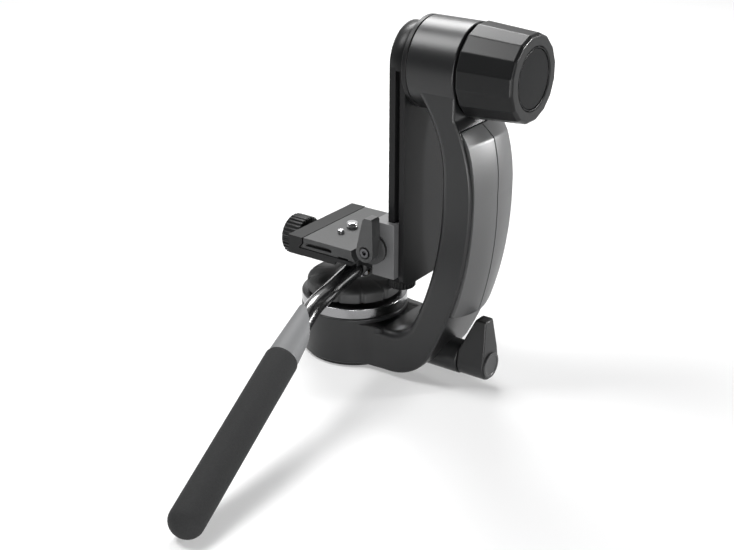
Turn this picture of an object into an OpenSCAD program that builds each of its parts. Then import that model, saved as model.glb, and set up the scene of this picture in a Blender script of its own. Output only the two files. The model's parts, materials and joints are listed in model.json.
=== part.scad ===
// Pan tilt head: a C-shaped arm on a pan base carries a hanging cradle on a side tilt shaft.
// Origin: pan axis at the underside of the foot. +X towards the tilt knob, +Z up, grip towards -Y.

/* [Base and pan] */
// Radius of the foot disc
foot_r = 28.5; // [24:0.5:30]
// Thickness of the foot disc
foot_t = 2.2; // [2:0.1:4]
// Radius of the 3/8 inch tripod socket
socket_r = 4.7625; // [3.175, 4.7625]
// Depth of the tripod socket
socket_depth = 12; // [8:0.5:14]
// Radius of the centre boss of the foot
foot_boss_r = 8.5; // [7:0.5:10]
// Radius of the pan spindle
spindle_r = 14; // [13:0.5:15]
// Wall of the pan bushes
pan_bush_wall = 2.5; // [1.5:0.5:4]
// Height of the lower pan bush
pan_bush_low_h = 5.5; // [3:0.5:6]
// Height of the upper pan bush
pan_bush_high_h = 8; // [4:0.5:9]
// Radius of the collar of the spindle in the pan ring
collar_r = 9; // [8:0.5:10]
// Radius of the threaded ends of the pan spindle and of the tilt shaft
stud_r = 6; // [5:0.5:7]
// Radius of the round boss of the arm
boss_r = 31; // [29:0.5:34]
// Height of the round boss of the arm
boss_h = 27.5; // [26:0.5:32]
// Radius of the polished pan ring
ring_r = 30.8; // [28:0.2:33]
// Thickness of the polished pan ring
ring_t = 6; // [5:0.5:8]
// Radius of the pan drag disk
drag_r = 27.5; // [25:0.5:30]
// Height of the pan drag disk
drag_h = 9; // [8:0.5:10]
// Number of flutes around the pan drag disk
drag_flutes = 12; // [8:1:18]
// Radius of a flute of the pan drag disk
flute_r = 3; // [2:0.2:4]
// Height of the dark gap under the pan drag disk
drag_gap = 1.7; // [1:0.1:3]

/* [Arm] */
// Width of the arm
arm_w = 44; // [38:1:48]
// Depth of the arm in side view
arm_t = 18.5; // [16:0.5:21]
// Height of the lower limb
limb_h = 25; // [23:0.5:26]
// Reach of the arm's outer face from the pan axis
belly_x = 89.2; // [86:0.2:94]
// Height of the arm's outermost point
belly_z = 113; // [108:1:118]
// Height where the inner face starts to lean to the hub
inner_belly_z = 122; // [118:1:126]
// Radius of the lower outer face
outer_low_r = 200; // [180:5:230]
// Radius of the upper outer face
outer_high_r = 90; // [80:2:100]
// Radius of the upper inner face
inner_high_r = 70; // [64:2:80]
// Radius of the outer bottom corner
corner_r = 30; // [24:1:34]
// Radius of the inner bottom corner
inner_corner_r = 16; // [12:1:20]
// Radius that blends the boss into the limb
blend_r = 20; // [14:1:26]
// Depth of the hollow behind the cover
hollow_d = 12.5; // [6:0.5:13]
// Thickness of the side walls of the arm
side_wall = 4.5; // [3:0.5:6]
// Width of the arm's rim beside the outer cover
cover_rim = 1.5; // [1:0.1:4]
// Thickness of the outer cover at its edges
cover_t = 2; // [1.5:0.1:3]
// Height of the outer cover's edges above the arm, halfway up
cover_edge = 1.1; // [0.3:0.1:2]
// Further rise of the outer cover at its middle, halfway up
cover_crown = 2.3; // [0.5:0.1:3]
// Share of that rise at the lower end of the outer cover
cover_swell_low = 1.8; // [1:0.1:2.2]
// Share of that rise where the upper end begins to slope
cover_swell_high = 1.5; // [1:0.1:2]
// Height of the slope at the upper end of the outer cover
cover_slope = 8.5; // [5:0.5:12]
// Height of the lower end of the outer cover
cover_z0 = 46; // [42:1:60]
// Height of the upper end of the outer cover
cover_z1 = 151; // [140:1:152]
// Width of the seam along the middle of the cover
seam_w = 0.7; // [0.4:0.1:1]

/* [Tilt] */
// Height of the tilt axis
tilt_z = 178.4; // [174:0.2:186]
// Radius of the tilt hub
hub_r = 24.3; // [23.5:0.1:26]
// Width of the tilt hub
hub_w = 28; // [26:0.5:32]
// Thickness of the thrust washer
washer_t = 2.8; // [2:0.1:4]
// Radius of the tilt shaft
shaft_r = 8; // [7.5:0.5:9]
// Wall of the tilt bushes
tilt_bush_wall = 2.5; // [1.5:0.5:4]
// Width of one tilt bush
tilt_bush_w = 6; // [4:0.5:7]
// Radius of the friction recess in the hub
recess_r = 20.3; // [18:0.1:21]
// Depth of the friction recess in the hub
recess_d = 10; // [9.5:0.5:11]
// Thickness of the tilt friction disc
friction_t = 1.5; // [1:0.1:2]
// Thickness of the tilt pressure plate
pressure_t = 2.5; // [2:0.1:3]
// Length of the tilt knob
knob_l = 31.6; // [29:0.2:36]
// Radius of the tilt knob next to the hub
knob_r0 = 24.5; // [23:0.1:27]
// Radius of the tilt knob at its face
knob_r1 = 22.5; // [21:0.1:24]
// Number of flats around the tilt knob
knob_flats = 16; // [13:1:24]
// Chamfer of the knob's rim
knob_chamfer = 2; // [1:0.1:3]
// Radius of the cap in the knob's face
cap_r = 15.3; // [13:0.1:17]
// Radius of the knob's inner hub
knob_hub_r = 14; // [13:0.5:16]

/* [Cradle] */
// Distance of the rail's face from the pan axis
rail_x = 37.2; // [36:0.1:39]
// Thickness of the rail's lip
lip_t = 3.8; // [3.4:0.1:5]
// Thickness of the rail's neck
neck_t = 3; // [2.6:0.1:4]
// Thickness of the cradle plate
plate_t = 3; // [2.5:0.1:4]
// Width of the cradle plate and of the rail
cradle_w = 40; // [38:1:44]
// Width of the rail's neck
neck_w = 32; // [30:0.5:34]
// Height of the cradle's lower end
cradle_z0 = 55; // [52:0.5:60]
// Radius of the cradle's lower corners
cradle_corner = 7; // [3:1:10]
// Radius of the tilt shaft's flange
flange_r = 14; // [13:0.5:15]

/* [Carrier and platform] */
// Height of the carrier above the cradle's lower end
carrier_lift = 6; // [5.5:0.5:10]
// Travel of the carrier on the rail
travel = 55; // [30:1:60]
// Height of the carrier
carrier_h = 31.5; // [28:0.5:36]
// Width of the carrier
carrier_w = 48; // [47:0.5:52]
// Thickness of the carrier's wall in front of the rail
carrier_wall = 7.4; // [7:0.1:8]
// Length of the platform towards the grip
platform_l = 61; // [56:1:70]
// Distance of the platform's left face from the pan axis
platform_left = 24; // [23:0.5:26]
// Height of the platform above the carrier's lower end
platform_lift = 2.5; // [1.5:0.1:4]
// Height of the platform's front face
platform_h = 10.8; // [10:0.1:14]
// Width of the fixed jaw
jaw_w = 9.7; // [8:0.1:10.5]
// Width of the quick-release plate
qr_w = 33.5; // [32:0.5:34]
// Setback of the quick-release plate's ends from the platform's
qr_inset = 0.5; // [0.2:0.1:4]
// Height of the quick-release plate
qr_h = 6.5; // [6:0.1:6.6]
// Overhang of the plate's dovetail
dovetail = 2.5; // [1.5:0.1:3]
// Radius of the camera screw, 1/4 inch
camera_screw_r = 3.175; // [3.175, 4.7625]
// Height of the camera screw above the plate
camera_screw_h = 3.4; // [3:0.1:6]
// Place of the camera screw across the plate, from its middle
camera_screw_x = -3.6; // [-5:0.1:5]
// Place of the camera screw along the plate, from its middle
camera_screw_y = -1; // [-12:0.5:12]
// Radius of the anti-twist pin
pin_r = 2; // [1.5:0.1:2.5]
// Height of the anti-twist pin above the plate
pin_h = 2.4; // [1.5:0.1:4]
// Distance of the anti-twist pin from the camera screw
pin_gap = 10.8; // [9.5:0.1:14]
// Height of the lever's axis above the platform
lever_rise = 2.7; // [2:0.1:4]
// Reach of the lever above its axis
lever_l = 20; // [16:0.5:26]
// Radius of the lever's boss
lever_r = 5.5; // [5:0.1:6]
// Thickness of the lever
lever_t = 7; // [5:0.5:8]
// Radius of the cam
cam_r = 3.7; // [3.4:0.1:4]
// Throw of the cam
cam_throw = 1.5; // [1:0.1:1.7]
// Radius of the height wheel
wheel_r = 8; // [6:0.5:9]
// Height of the height wheel
wheel_h = 8; // [6:0.5:9]

/* [Handle] */
// Drop of the handle's clamp axis below the platform
handle_drop = 3; // [2.5:0.1:5]
// Radius of the handle's eye
eye_r = 6; // [5:0.1:6.5]
// Width of the handle's eye
eye_w = 15; // [14.6:0.2:17]
// Distance of the eye's middle from the pan axis
eye_x = 8; // [5:0.5:10]
// Radius of the clamp knob
clamp_knob_r = 12; // [9:0.5:13]
// Length of the clamp knob
clamp_knob_l = 12; // [9:0.5:16]
// Radius of the handle rod
rod_r = 5; // [4:0.1:5.2]
// Turn of the handle towards the arm, in degrees
heading = 12.6; // [6:0.2:13]
// Straight length of the handle rod before its bend
rod_straight = 65; // [55:1:80]
// Radius of the rod's bend
bend_r = 40; // [30:5:80]
// Downward bend of the rod, in degrees
droop = 19.3; // [12:0.1:20]
// Length of the ferrule
ferrule_l = 32.5; // [24:0.5:38]
// Radius of the ferrule's narrow end
ferrule_r = 6.2; // [5.8:0.1:7]
// Length of the foam grip
grip_l = 114; // [80:1:120]
// Radius of the foam grip
grip_r = 8.9; // [7.5:0.1:10]

/* [Pan lock] */
// Height of the pan lock's axis above the arm's underside
lock_h = 11; // [11:0.2:14]
// Reach of the pan lock's boss from the pan axis
lock_x = 75.6; // [70:0.2:80]
// Radius of the pan lock's boss on the arm
lock_boss_r = 9.4; // [8:0.2:10.8]
// Radius of the pan lock's round end
lock_r = 8.8; // [6:0.2:10]
// Length of the pan lock lever along its axis
lock_l = 16.5; // [12:0.5:20]
// Reach of the pan lock's wing
wing_h = 27; // [20:0.5:34]
// Thickness of the pan lock's wing
wing_t = 8; // [6:0.5:10]
// Radius of the pan lock's screw
lock_screw_r = 3; // [2.5:0.5:3.5]
// Radius of the brake shoe
shoe_r = 4.6; // [4:0.2:5]

/* [Fits] */
// Running clearance of shafts in bores
run = 0.04; // [0.02:0.01:0.08]
// Clearance of seated pieces
seat = 0.02; // [0.01:0.01:0.05]
// Clearance between faces that pass each other
pass = 0.3; // [0.2:0.05:0.5]
// Clearance between flat faces that rub
rub = 0.1; // [0.05:0.05:0.2]

/* [Hidden] */
$fn = 64;

// Stack of the pan axis, upwards
boss_z0 = foot_t + pass;
boss_z1 = boss_z0 + boss_h;
limb_z1 = boss_z0 + limb_h;
ring_z0 = boss_z1 + pass;
ring_z1 = ring_z0 + ring_t;
drag_z0 = ring_z1 + drag_gap;
drag_z1 = drag_z0 + drag_h;
washer_sink = 1;
spring_sink = 2.5;
bush_bore_r = spindle_r + run + pan_bush_wall + seat;
insert_r = stud_r + 3;
dowel_r = 1.2;
foot_screw_r = 1.25;
foot_screw_l = 8;
spring_rim = 5.5;

// Arcs of the arm's side view
outer_low_c = [belly_x - outer_low_r, belly_z];
outer_high_c = [belly_x - outer_high_r, belly_z];
inner_low_r = outer_low_r - arm_t;
inner_high_c = [belly_x - arm_t - inner_high_r, inner_belly_z];
corner_z = boss_z0 + corner_r;
corner_c = [outer_low_c.x + sqrt(pow(outer_low_r - corner_r, 2) - pow(belly_z - corner_z, 2)), corner_z];
corner_a = atan2(corner_z - belly_z, corner_c.x - outer_low_c.x);
inner_corner_z = limb_z1 + inner_corner_r;
inner_corner_x = sqrt(pow(inner_low_r - inner_corner_r, 2) - pow(belly_z - inner_corner_z, 2));
inner_corner_c = [outer_low_c.x + inner_corner_x, inner_corner_z];
inner_corner_a = atan2(inner_corner_z - belly_z, inner_corner_x);
blend_sink = 0.4;
blend_c = [sqrt(pow(boss_r + blend_r - blend_sink, 2) - pow(arm_w / 2 + blend_r, 2)), arm_w / 2 + blend_r];
cover_w = arm_w - 2 * cover_rim;
cover_a0 = asin((cover_z0 - belly_z) / outer_low_r);
cover_a1 = asin((cover_z1 - belly_z) / outer_high_r);
hollow_margin = 3;
hollow_a0 = cover_a0 + hollow_margin;
hollow_a1 = cover_a1 - hollow_margin;

// Stack of the tilt axis, towards the knob
neck_x = rail_x + lip_t;
plate_x = neck_x + neck_t;
cradle_x = plate_x + plate_t;
hub_x0 = cradle_x + 2 * rub + washer_t;
hub_x1 = hub_x0 + hub_w;
recess_x = hub_x1 - recess_d;
pressure_x = recess_x + friction_t + rub;
spring_x = pressure_x + pressure_t;
spring_h = 3;
knob_nut_x = spring_x + spring_h + rub;
knob_x0 = hub_x1 + 1;
knob_x1 = knob_x0 + knob_l;
knob_web = 7.5;
knob_over = 1 / cos(180 / knob_flats);
knob_nut_x1 = knob_x1 - knob_web - 5;
tilt_bush_r = shaft_r + run + tilt_bush_wall;
tilt_bush_gap = 2;
knob_nut_r = stud_r + 4;
knob_skirt = 3.2;
cap_t = 2.6;
cradle_screw_r = 2;
cradle_screw_ring = 10.5;

// Carrier and platform
carrier_z0 = cradle_z0 + carrier_lift;
carrier_x0 = rail_x - pass - carrier_wall;
carrier_x1 = plate_x - pass;
carrier_z1 = carrier_z0 + carrier_h;
platform_z0 = carrier_z0 + platform_lift;
platform_z = platform_z0 + platform_h;
qr_z0 = platform_z - qr_h;
floor_z1 = qr_z0 - rub;
floor_t = 2.2;
skirt = 3;
qr_x0 = -platform_left + jaw_w + pass;
qr_x1 = qr_x0 + qr_w;
qr_mid = (qr_x0 + qr_x1) / 2;
qr_l = platform_l - 2 * qr_inset;
dovetail_z = qr_z0 + 3.2;
screw_flange_r = camera_screw_r + 3;
screw_flange_h = 2;
screw_neck_r = camera_screw_r - 0.4;
screw_start = 0.2;
clip_t = 0.8;
clamp_x0 = qr_x1 + pass;
clamp_w = 4.5;
deck_x = clamp_x0;
deck_w = 44;
clamp_top = dovetail_z + 1.5;
post_gap = 0.45;
cam_bore_r = cam_r + cam_throw + pass;
lever_x = rail_x - pass - 0.5 - cam_bore_r;
lever_z = platform_z + lever_rise;
post_x1 = lever_x - cam_throw - cam_r - post_gap;
cam_w = 6;
cam_shaft_r = 3;
journal_w = 5.5;
lever_y1 = -carrier_w / 2 - pass;
lever_disc_t = 2.4;
lever_y0 = lever_y1 - lever_disc_t - lever_t;
foot_lug = [9, 19];
deck_screw_y = 14;
deck_screw_r = 1.5;
wheel_x = carrier_x0 + 3.4;
wheel_z1 = cradle_z0 - 0.5;
wheel_z0 = wheel_z1 - wheel_h;
height_screw_r = 2.4;
pad_z0 = carrier_z0 + 5;
pad_h = 4;
groove_w = 2 * (wheel_r + pass);
groove_x = wheel_x + wheel_r + pass;
groove_z1 = pad_z0 + pad_h + travel + 2;
stop_r = 1.25;
stop_head_r = 2.2;
stop_head_t = 1.8;
stop_y = 13;
stop_z = cradle_z0 + 2.6;

// Handle
handle_z = platform_z0 - handle_drop;
clamp_bolt_r = 3;
lug_r = eye_r;
lug_w = 6;
eye_x0 = eye_x - eye_w / 2;
eye_x1 = eye_x + eye_w / 2;
lug_x0 = eye_x0 - pass - lug_w;
lug_x1 = eye_x1 + pass + lug_w;
tube_r = 5;
clamp_knob_x1 = -platform_left - 9;
clamp_knob_x0 = clamp_knob_x1 - clamp_knob_l;
clamp_bolt_x0 = clamp_knob_x0 + 4;
rod_drop = 3.5;
rod_z = handle_z - rod_drop;
socket_wall = 0.8;
relief = 1;
rod_in = 5.5;
socket_u = 16;
grip_end = 8;
cut_u = 7;
cut_a = 56;
cut_turn = 45;

// Stations of the rod's centre line: distance along the heading, height and downward pitch
rod_steps = 10;
rod_sides = 28;
rod_tail = ferrule_l + grip_l - grip_end - 6;
rod_stations = concat(
    [[rod_in, 0, 0]],
    [for (i = [0 : rod_steps])
        let (p = droop * i / rod_steps)
        [rod_straight + bend_r * sin(p), bend_r * (cos(p) - 1), p]],
    [[rod_straight + bend_r * sin(droop) + rod_tail * cos(droop),
      bend_r * (cos(droop) - 1) - rod_tail * sin(droop), droop]]
);

// Pan lock
lock_z = boss_z0 + lock_h;
shoe_x = spindle_r + 0.35;
shoe_l = 7.5;
wing_top = 8;
wing_sink = 0.3;

// Points of an arc about c
function arc(c, r, a0, a1, n = 20) =
    [for (i = [0 : n]) let (a = a0 + (a1 - a0) * i / n) c + r * [cos(a), sin(a)]];

// Outline of a knurled rim, with ridges between two radii
function knurl(r, depth, ridges) =
    [for (i = [0 : 4 * ridges - 1]) let (a = 90 * i / ridges, d = i % 4 < 2 ? 0 : depth) (r - d) * [cos(a), sin(a)]];

// A round section of the rod at one of its stations
function rod_ring(s) =
    [for (j = [0 : rod_sides - 1])
        let (t = 360 * j / rod_sides)
        [s[0] + rod_r * sin(t) * sin(s[2]), rod_r * cos(t), s[1] + rod_r * sin(t) * cos(s[2])]];

// A closed solid through sections that have the same number of points
module skin(rings) {
    n = len(rings[0]);
    last = len(rings) - 1;
    points = [for (ring = rings, p = ring) p];
    sides = [for (i = [0 : last - 1], j = [0 : n - 1], k = [0, 1])
        let (a = i * n + j, b = i * n + (j + 1) % n)
        k == 0 ? [a, a + n, b + n] : [a, b + n, b]];
    ends = [[for (j = [0 : n - 1]) j], [for (j = [n - 1 : -1 : 0]) last * n + j]];
    polyhedron(points, concat(sides, ends));
}

module x_rod(x0, x1, r) translate([x0, 0, 0]) rotate([0, 90, 0]) cylinder(h = x1 - x0, r = r);
module y_rod(y0, y1, r) translate([0, y0, 0]) rotate([-90, 0, 0]) cylinder(h = y1 - y0, r = r);
module z_rod(z0, z1, r) translate([0, 0, z0]) cylinder(h = z1 - z0, r = r);
module x_tube(x0, x1, r, bore) translate([x0, 0, 0]) rotate([0, 90, 0]) tube(x1 - x0, r, bore);
module box(x, y, z) translate([x[0], y[0], z[0]]) cube([x[1] - x[0], y[1] - y[0], z[1] - z[0]]);

// A flat outline given in Y and Z, thick along X
module x_slab(x0, x1) translate([x0, 0, 0]) rotate([90, 0, 90]) linear_extrude(x1 - x0) children();

// A flat outline given in X and Z, thick along Y
module y_slab(y0, y1) translate([0, y1, 0]) rotate([90, 0, 0]) linear_extrude(y1 - y0) children();

module tube(h, r, bore) {
    rotate_extrude()
        translate([bore, 0])
            square([r - bore, h]);
}

// A coned washer that rises from its rim to its bore
module disc_spring(r, bore, h, t) {
    rotate_extrude()
        polygon([[bore, h - t], [r, 0], [r, t], [bore, h]]);
}

module at_tilt() translate([0, 0, tilt_z]) children();
module at_lock() translate([0, 0, lock_z]) children();
module at_lever() translate([lever_x, 0, lever_z]) children();
module at_clamp() translate([0, 0, handle_z]) children();
module at_rod() translate([eye_x, 0, rod_z]) rotate([0, 0, heading - 90]) children();

// Start of the straight lower stretch of the handle, with +X along it
module at_grip() {
    at_rod()
        translate([rod_straight + bend_r * sin(droop), 0, bend_r * (cos(droop) - 1)])
            rotate([0, droop, 0])
                children();
}

module around(count, r) {
    for (i = [0 : count - 1])
        rotate([0, 0, 360 * i / count])
            translate([r, 0, 0])
                children();
}

// Base, which stays with the tripod

module base_foot() {
    color("#1b1b1c")
        difference() {
            union() {
                z_rod(0, foot_t, foot_r);
                z_rod(0, socket_depth + 3, foot_boss_r);
            }
            z_rod(-1, socket_depth, socket_r);
            around(3, foot_screw_ring())
                foot_screw(seat);
        }
}

function foot_screw_ring() = (foot_boss_r + spindle_r) / 2;

module foot_screw(gap = 0) {
    z_rod(foot_t - 1.9, foot_t - 0.8 + gap, 2 * foot_screw_r + gap);
    z_rod(foot_t - 1, foot_t + foot_screw_l + gap, foot_screw_r + gap);
    if (gap > 0) z_rod(-1, foot_t - 1.8, 2 * foot_screw_r + gap);
}

module foot_screws() {
    color("#8c8d90")
        around(3, foot_screw_ring())
            foot_screw();
}

module pan_spindle() {
    color("#9a9b9e")
        difference() {
            union() {
                z_rod(foot_t, boss_z1, spindle_r);
                z_rod(boss_z1 - 1, ring_z1 - spring_sink, collar_r);
                z_rod(ring_z0, drag_z1 - 0.5, stud_r);
            }
            z_rod(0, socket_depth + 3 + seat, foot_boss_r + seat);
            around(3, foot_screw_ring())
                foot_screw(seat);
            translate([dowel_place(), 0, 0])
                z_rod(boss_z1 - 6, ring_z1, dowel_r + seat);
            clip_groove(drag_z1 - 2.2);
        }
}

function dowel_place() = (collar_r + spindle_r) / 2;

// Groove of a retaining clip around the threaded end, one millimetre high
module clip_groove(z) {
    translate([0, 0, z])
        tube(1 + 2 * seat, stud_r + 1, stud_r - 1);
}

module clip(z) {
    translate([0, 0, z + seat])
        difference() {
            tube(1, stud_r + 1.6, stud_r - 1 + seat);
            translate([0, -1, -1])
                cube([2 * stud_r, 2, 3]);
        }
}

module ring_dowel() {
    color("#b4b5b8")
        translate([dowel_place(), 0, 0])
            z_rod(boss_z1 - 6, ring_z0 + 3, dowel_r);
}

module pan_ring() {
    color("#cfd0d2")
        difference() {
            z_rod(ring_z0, ring_z1, ring_r);
            z_rod(ring_z0 - 1, ring_z1 + 1, collar_r + seat);
            z_rod(ring_z1 - spring_sink, ring_z1 + 1, insert_r + spring_rim + 0.5);
            translate([dowel_place(), 0, 0])
                z_rod(ring_z0 - 1, ring_z0 + 3 + seat, dowel_r + seat);
        }
}

module pan_disc_spring() {
    color("#7c7d80")
        translate([0, 0, ring_z1 - spring_sink])
            disc_spring(insert_r + spring_rim, stud_r + 0.6, spring_sink, 1);
}

module spindle_clip() {
    color("#8c8d90")
        clip(drag_z1 - 2.2);
}

// Pan drag disk, which turns on the spindle's thread

module pan_drag_disk() {
    color("#242526")
        difference() {
            rotate_extrude()
                polygon([
                    [insert_r + seat, drag_z0 - drag_gap + pass],
                    [insert_r + 3, drag_z0 - drag_gap + pass],
                    [insert_r + 3, drag_z0],
                    [drag_r, drag_z0],
                    [drag_r, drag_z0 + 0.58 * drag_h],
                    [0.93 * drag_r, drag_z0 + 0.79 * drag_h],
                    [0.73 * drag_r, drag_z0 + 0.93 * drag_h],
                    [insert_r + 2, drag_z1],
                    [insert_r + seat, drag_z1]
                ]);
            around(drag_flutes, drag_r + 0.55 * flute_r)
                z_rod(drag_z0 - 1, drag_z1, flute_r);
        }
}

module pan_disk_insert() {
    color("#b08d4a")
        translate([0, 0, drag_z0 - drag_gap + pass])
            tube(drag_z1 - 2.2 - drag_z0 + drag_gap - pass, insert_r, stud_r + run);
}

// Arm, which pans on the base

module arm_outline() {
    outer_top = acos((hub_x1 - outer_high_c.x) / outer_high_r);
    inner_top = acos((hub_x0 + 4 - inner_high_c.x) / inner_high_r);
    polygon(concat(
        [[0, boss_z0]],
        arc(corner_c, corner_r, -90, corner_a),
        arc(outer_low_c, outer_low_r, corner_a, 0),
        arc(outer_high_c, outer_high_r, 2, outer_top),
        [[hub_x1, tilt_z], [hub_x0 + 4, tilt_z]],
        arc(inner_high_c, inner_high_r, inner_top, 0),
        arc(outer_low_c, inner_low_r, 0, inner_corner_a),
        arc(inner_corner_c, inner_corner_r, inner_corner_a, -90),
        [[0, limb_z1]]
    ));
}

// Plan of the blends between the boss and the limb, sunk a little into the boss
module blend_outline() {
    start = atan2(-blend_c.y, -blend_c.x);
    for (side = [0, 1])
        mirror([0, side])
            polygon(concat([[0, 0]], arc(blend_c, blend_r, start, -90), [[blend_c.x, 0]]));
}

// A ring sector of the arm's outer face: inner and outer radius offsets, then angles of the two arcs
module outer_band(d0, d1, a0, a1, w) {
    y_slab(-w / 2, w / 2)
        polygon(concat(
            arc(outer_low_c, outer_low_r + d1, a0, 0),
            arc(outer_high_c, outer_high_r + d1, 2, a1),
            arc(outer_high_c, outer_high_r + d0, a1, 0),
            arc(outer_low_c, outer_low_r + d0, -1, a0)
        ));
}

module arm_casting() {
    color("#2b2c2d")
        difference() {
            union() {
                y_slab(-arm_w / 2, arm_w / 2)
                    arm_outline();
                z_rod(boss_z0, boss_z1, boss_r);
                translate([0, 0, boss_z0])
                    linear_extrude(limb_h)
                        blend_outline();
                at_tilt()
                    x_rod(hub_x0, hub_x1, hub_r);
                at_lock()
                    x_rod(spindle_r + 20, lock_x, lock_boss_r);
            }
            z_rod(0, boss_z1 + 1, bush_bore_r);
            translate([0, 0, boss_z1 - washer_sink])
                tube(washer_sink + 1, boss_r - 4, spindle_r + 1);
            at_lock() {
                x_rod(0, shoe_x + shoe_l + pass, shoe_r + run);
                x_rod(0, lock_x + 1, lock_screw_r + run);
            }
            at_tilt() {
                x_rod(hub_x0 - 1, hub_x1 + 1, tilt_bush_r + seat);
                x_rod(recess_x, hub_x1 + 1, recess_r);
                x_rod(hub_x1, knob_x1, knob_r0 * knob_over + pass);
            }
            outer_band(-cover_t, 1, cover_a0, cover_a1, cover_w + 2 * pass);
            outer_band(-hollow_d, 1, hollow_a0, hollow_a1, arm_w - 2 * side_wall);
        }
}

// Crowned section of the cover at an angle of one of the arm's outer arcs, with the seam along its middle
function cover_ring(c, r, a, share) =
    let (
        half = cover_w / 2,
        rise = [
            for (i = [0 : 5])
                [r + share * (cover_edge + cover_crown * sin(18 * i)), -half + (half - seam_w / 2) * i / 5]
        ],
        section = concat(
            [[r - cover_t + rub, -half]],
            rise,
            [[rise[5].x - seam_w, 0]],
            [for (i = [5 : -1 : 0]) [rise[i].x, -rise[i].y]],
            [[r - cover_t + rub, half]]
        )
    )
    [for (p = section) [c.x + p.x * cos(a), p.y, c.y + p.x * sin(a)]];

module arm_cover() {
    end_gap = 0.2;
    steps = 12;
    end_share = 0.15;
    a0 = cover_a0 + end_gap;
    a1 = cover_a1 - end_gap;
    bend_a = asin((cover_z1 - cover_slope - belly_z) / outer_high_r);
    color("#3a3b3d")
        skin(concat(
            [
                for (i = [0 : steps])
                    let (s = 1 - i / steps)
                    cover_ring(outer_low_c, outer_low_r, a0 * s, 1 + (cover_swell_low - 1) * s)
            ],
            [
                for (i = [1 : steps])
                    let (s = i / steps)
                    cover_ring(outer_high_c, outer_high_r, bend_a * s, 1 + (cover_swell_high - 1) * s)
            ],
            [cover_ring(outer_high_c, outer_high_r, a1, end_share)]
        ));
}

module pan_bushes() {
    color("#a98a55") {
        translate([0, 0, boss_z0 + rub])
            tube(pan_bush_low_h, spindle_r + run + pan_bush_wall, spindle_r + run);
        translate([0, 0, boss_z1 - washer_sink - pan_bush_high_h])
            tube(pan_bush_high_h, spindle_r + run + pan_bush_wall, spindle_r + run);
    }
}

module pan_friction_washer() {
    color("#d8d4c8")
        translate([0, 0, boss_z1 - washer_sink])
            tube(washer_sink + pass - rub, boss_r - 4.3, bush_bore_r);
}

module tilt_bushes() {
    color("#a98a55")
        at_tilt()
            for (x = [hub_x0 + rub, recess_x - tilt_bush_w])
                x_tube(x, x + tilt_bush_w, tilt_bush_r, shaft_r + run);
}

module thrust_washer() {
    color("#5d5e60")
        at_tilt()
            x_tube(cradle_x + rub, cradle_x + rub + washer_t, hub_r, shaft_r + pass);
}

module tilt_friction_disc() {
    color("#7a5a3c")
        at_tilt()
            x_tube(recess_x, recess_x + friction_t, recess_r - pass, shaft_r + pass);
}

module brake_shoe() {
    color("#b08d4a")
        at_lock()
            x_rod(shoe_x, shoe_x + shoe_l, shoe_r);
}

// Pan lock

// End view of the pan lock: flat flanks run from the round end up to the wing's top
module wing_outline() {
    corner = [wing_t / 2, wing_h];
    inner = lock_r - wing_sink;
    lean = atan2(corner.x, corner.y) + acos(inner / norm(corner));
    touch = inner * [sin(lean), cos(lean)];
    circle(lock_r);
    polygon([[0, 0], touch, corner, [-corner.x, corner.y], [-touch.x, touch.y]]);
}

module pan_lock_lever() {
    x0 = lock_x + pass;
    x1 = x0 + lock_l;
    color("#2a2b2c")
        at_lock()
            difference() {
                intersection() {
                    x_slab(x0, x1)
                        wing_outline();
                    y_slab(-2 * lock_r, 2 * lock_r)
                        polygon([[x0, -2 * lock_r], [x1, -2 * lock_r], [x1, lock_r], [x1 - 1.4, wing_h],
                                 [x1 - wing_top, wing_h], [x0, lock_r - 1]]);
                }
                x_rod(x0 - 1, x1 - 4, lock_screw_r + seat);
            }
}

module pan_lock_screw() {
    color("#8c8d90")
        at_lock()
            x_rod(shoe_x + shoe_l + rub, lock_x + pass + lock_l - 4, lock_screw_r);
}

module pan_lock_cap() {
    x = lock_x + pass + lock_l;
    color("#3c3d3f")
        at_lock()
            x_rod(x, x + 1, lock_r - 1.3);
}

// Cradle, which tilts in the arm's hub

module cradle_outline(w) {
    side = w / 2 - cradle_corner;
    polygon(concat(
        arc([0, tilt_z], w / 2, 0, 180, 40),
        arc([-side, cradle_z0 + cradle_corner], cradle_corner, 180, 270, 8),
        arc([side, cradle_z0 + cradle_corner], cradle_corner, 270, 360, 8)
    ));
}

module cradle_screw(gap = 0) {
    x_rod(rail_x + 0.4 - 2 * gap, rail_x + 3.2 + gap, 1.7 * cradle_screw_r + gap);
    x_rod(rail_x + 3, plate_x + 2.4 + gap, cradle_screw_r + gap);
    if (gap > 0) x_rod(rail_x - 1, rail_x + 1, 1.7 * cradle_screw_r + gap);
}

module at_cradle_screws() {
    at_tilt()
        for (a = [90, 210, 330])
            rotate([a, 0, 0])
                translate([0, cradle_screw_ring, 0])
                    children();
}

module stop_screw(gap = 0) {
    for (side = [-1, 1])
        translate([0, side * stop_y, stop_z]) {
            x_rod(rail_x - stop_head_t, rail_x, stop_head_r);
            x_rod(rail_x - 0.5, rail_x + lip_t - 0.8 + gap, stop_r + gap);
        }
}

module cradle() {
    color("#303132")
        difference() {
            union() {
                x_slab(rail_x, neck_x)
                    cradle_outline(cradle_w);
                x_slab(neck_x, plate_x)
                    cradle_outline(neck_w);
                x_slab(plate_x, cradle_x)
                    cradle_outline(cradle_w);
            }
            at_tilt()
                x_rod(plate_x, cradle_x + 1, flange_r + seat);
            box([rail_x - 1, groove_x], groove_w / 2 * [-1, 1], [cradle_z0 - 1, groove_z1]);
            at_cradle_screws()
                cradle_screw(seat);
            stop_screw(seat);
        }
}

module cradle_screws() {
    color("#8c8d90")
        at_cradle_screws()
            cradle_screw();
}

module rail_stop_screws() {
    color("#8c8d90")
        stop_screw();
}

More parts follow.
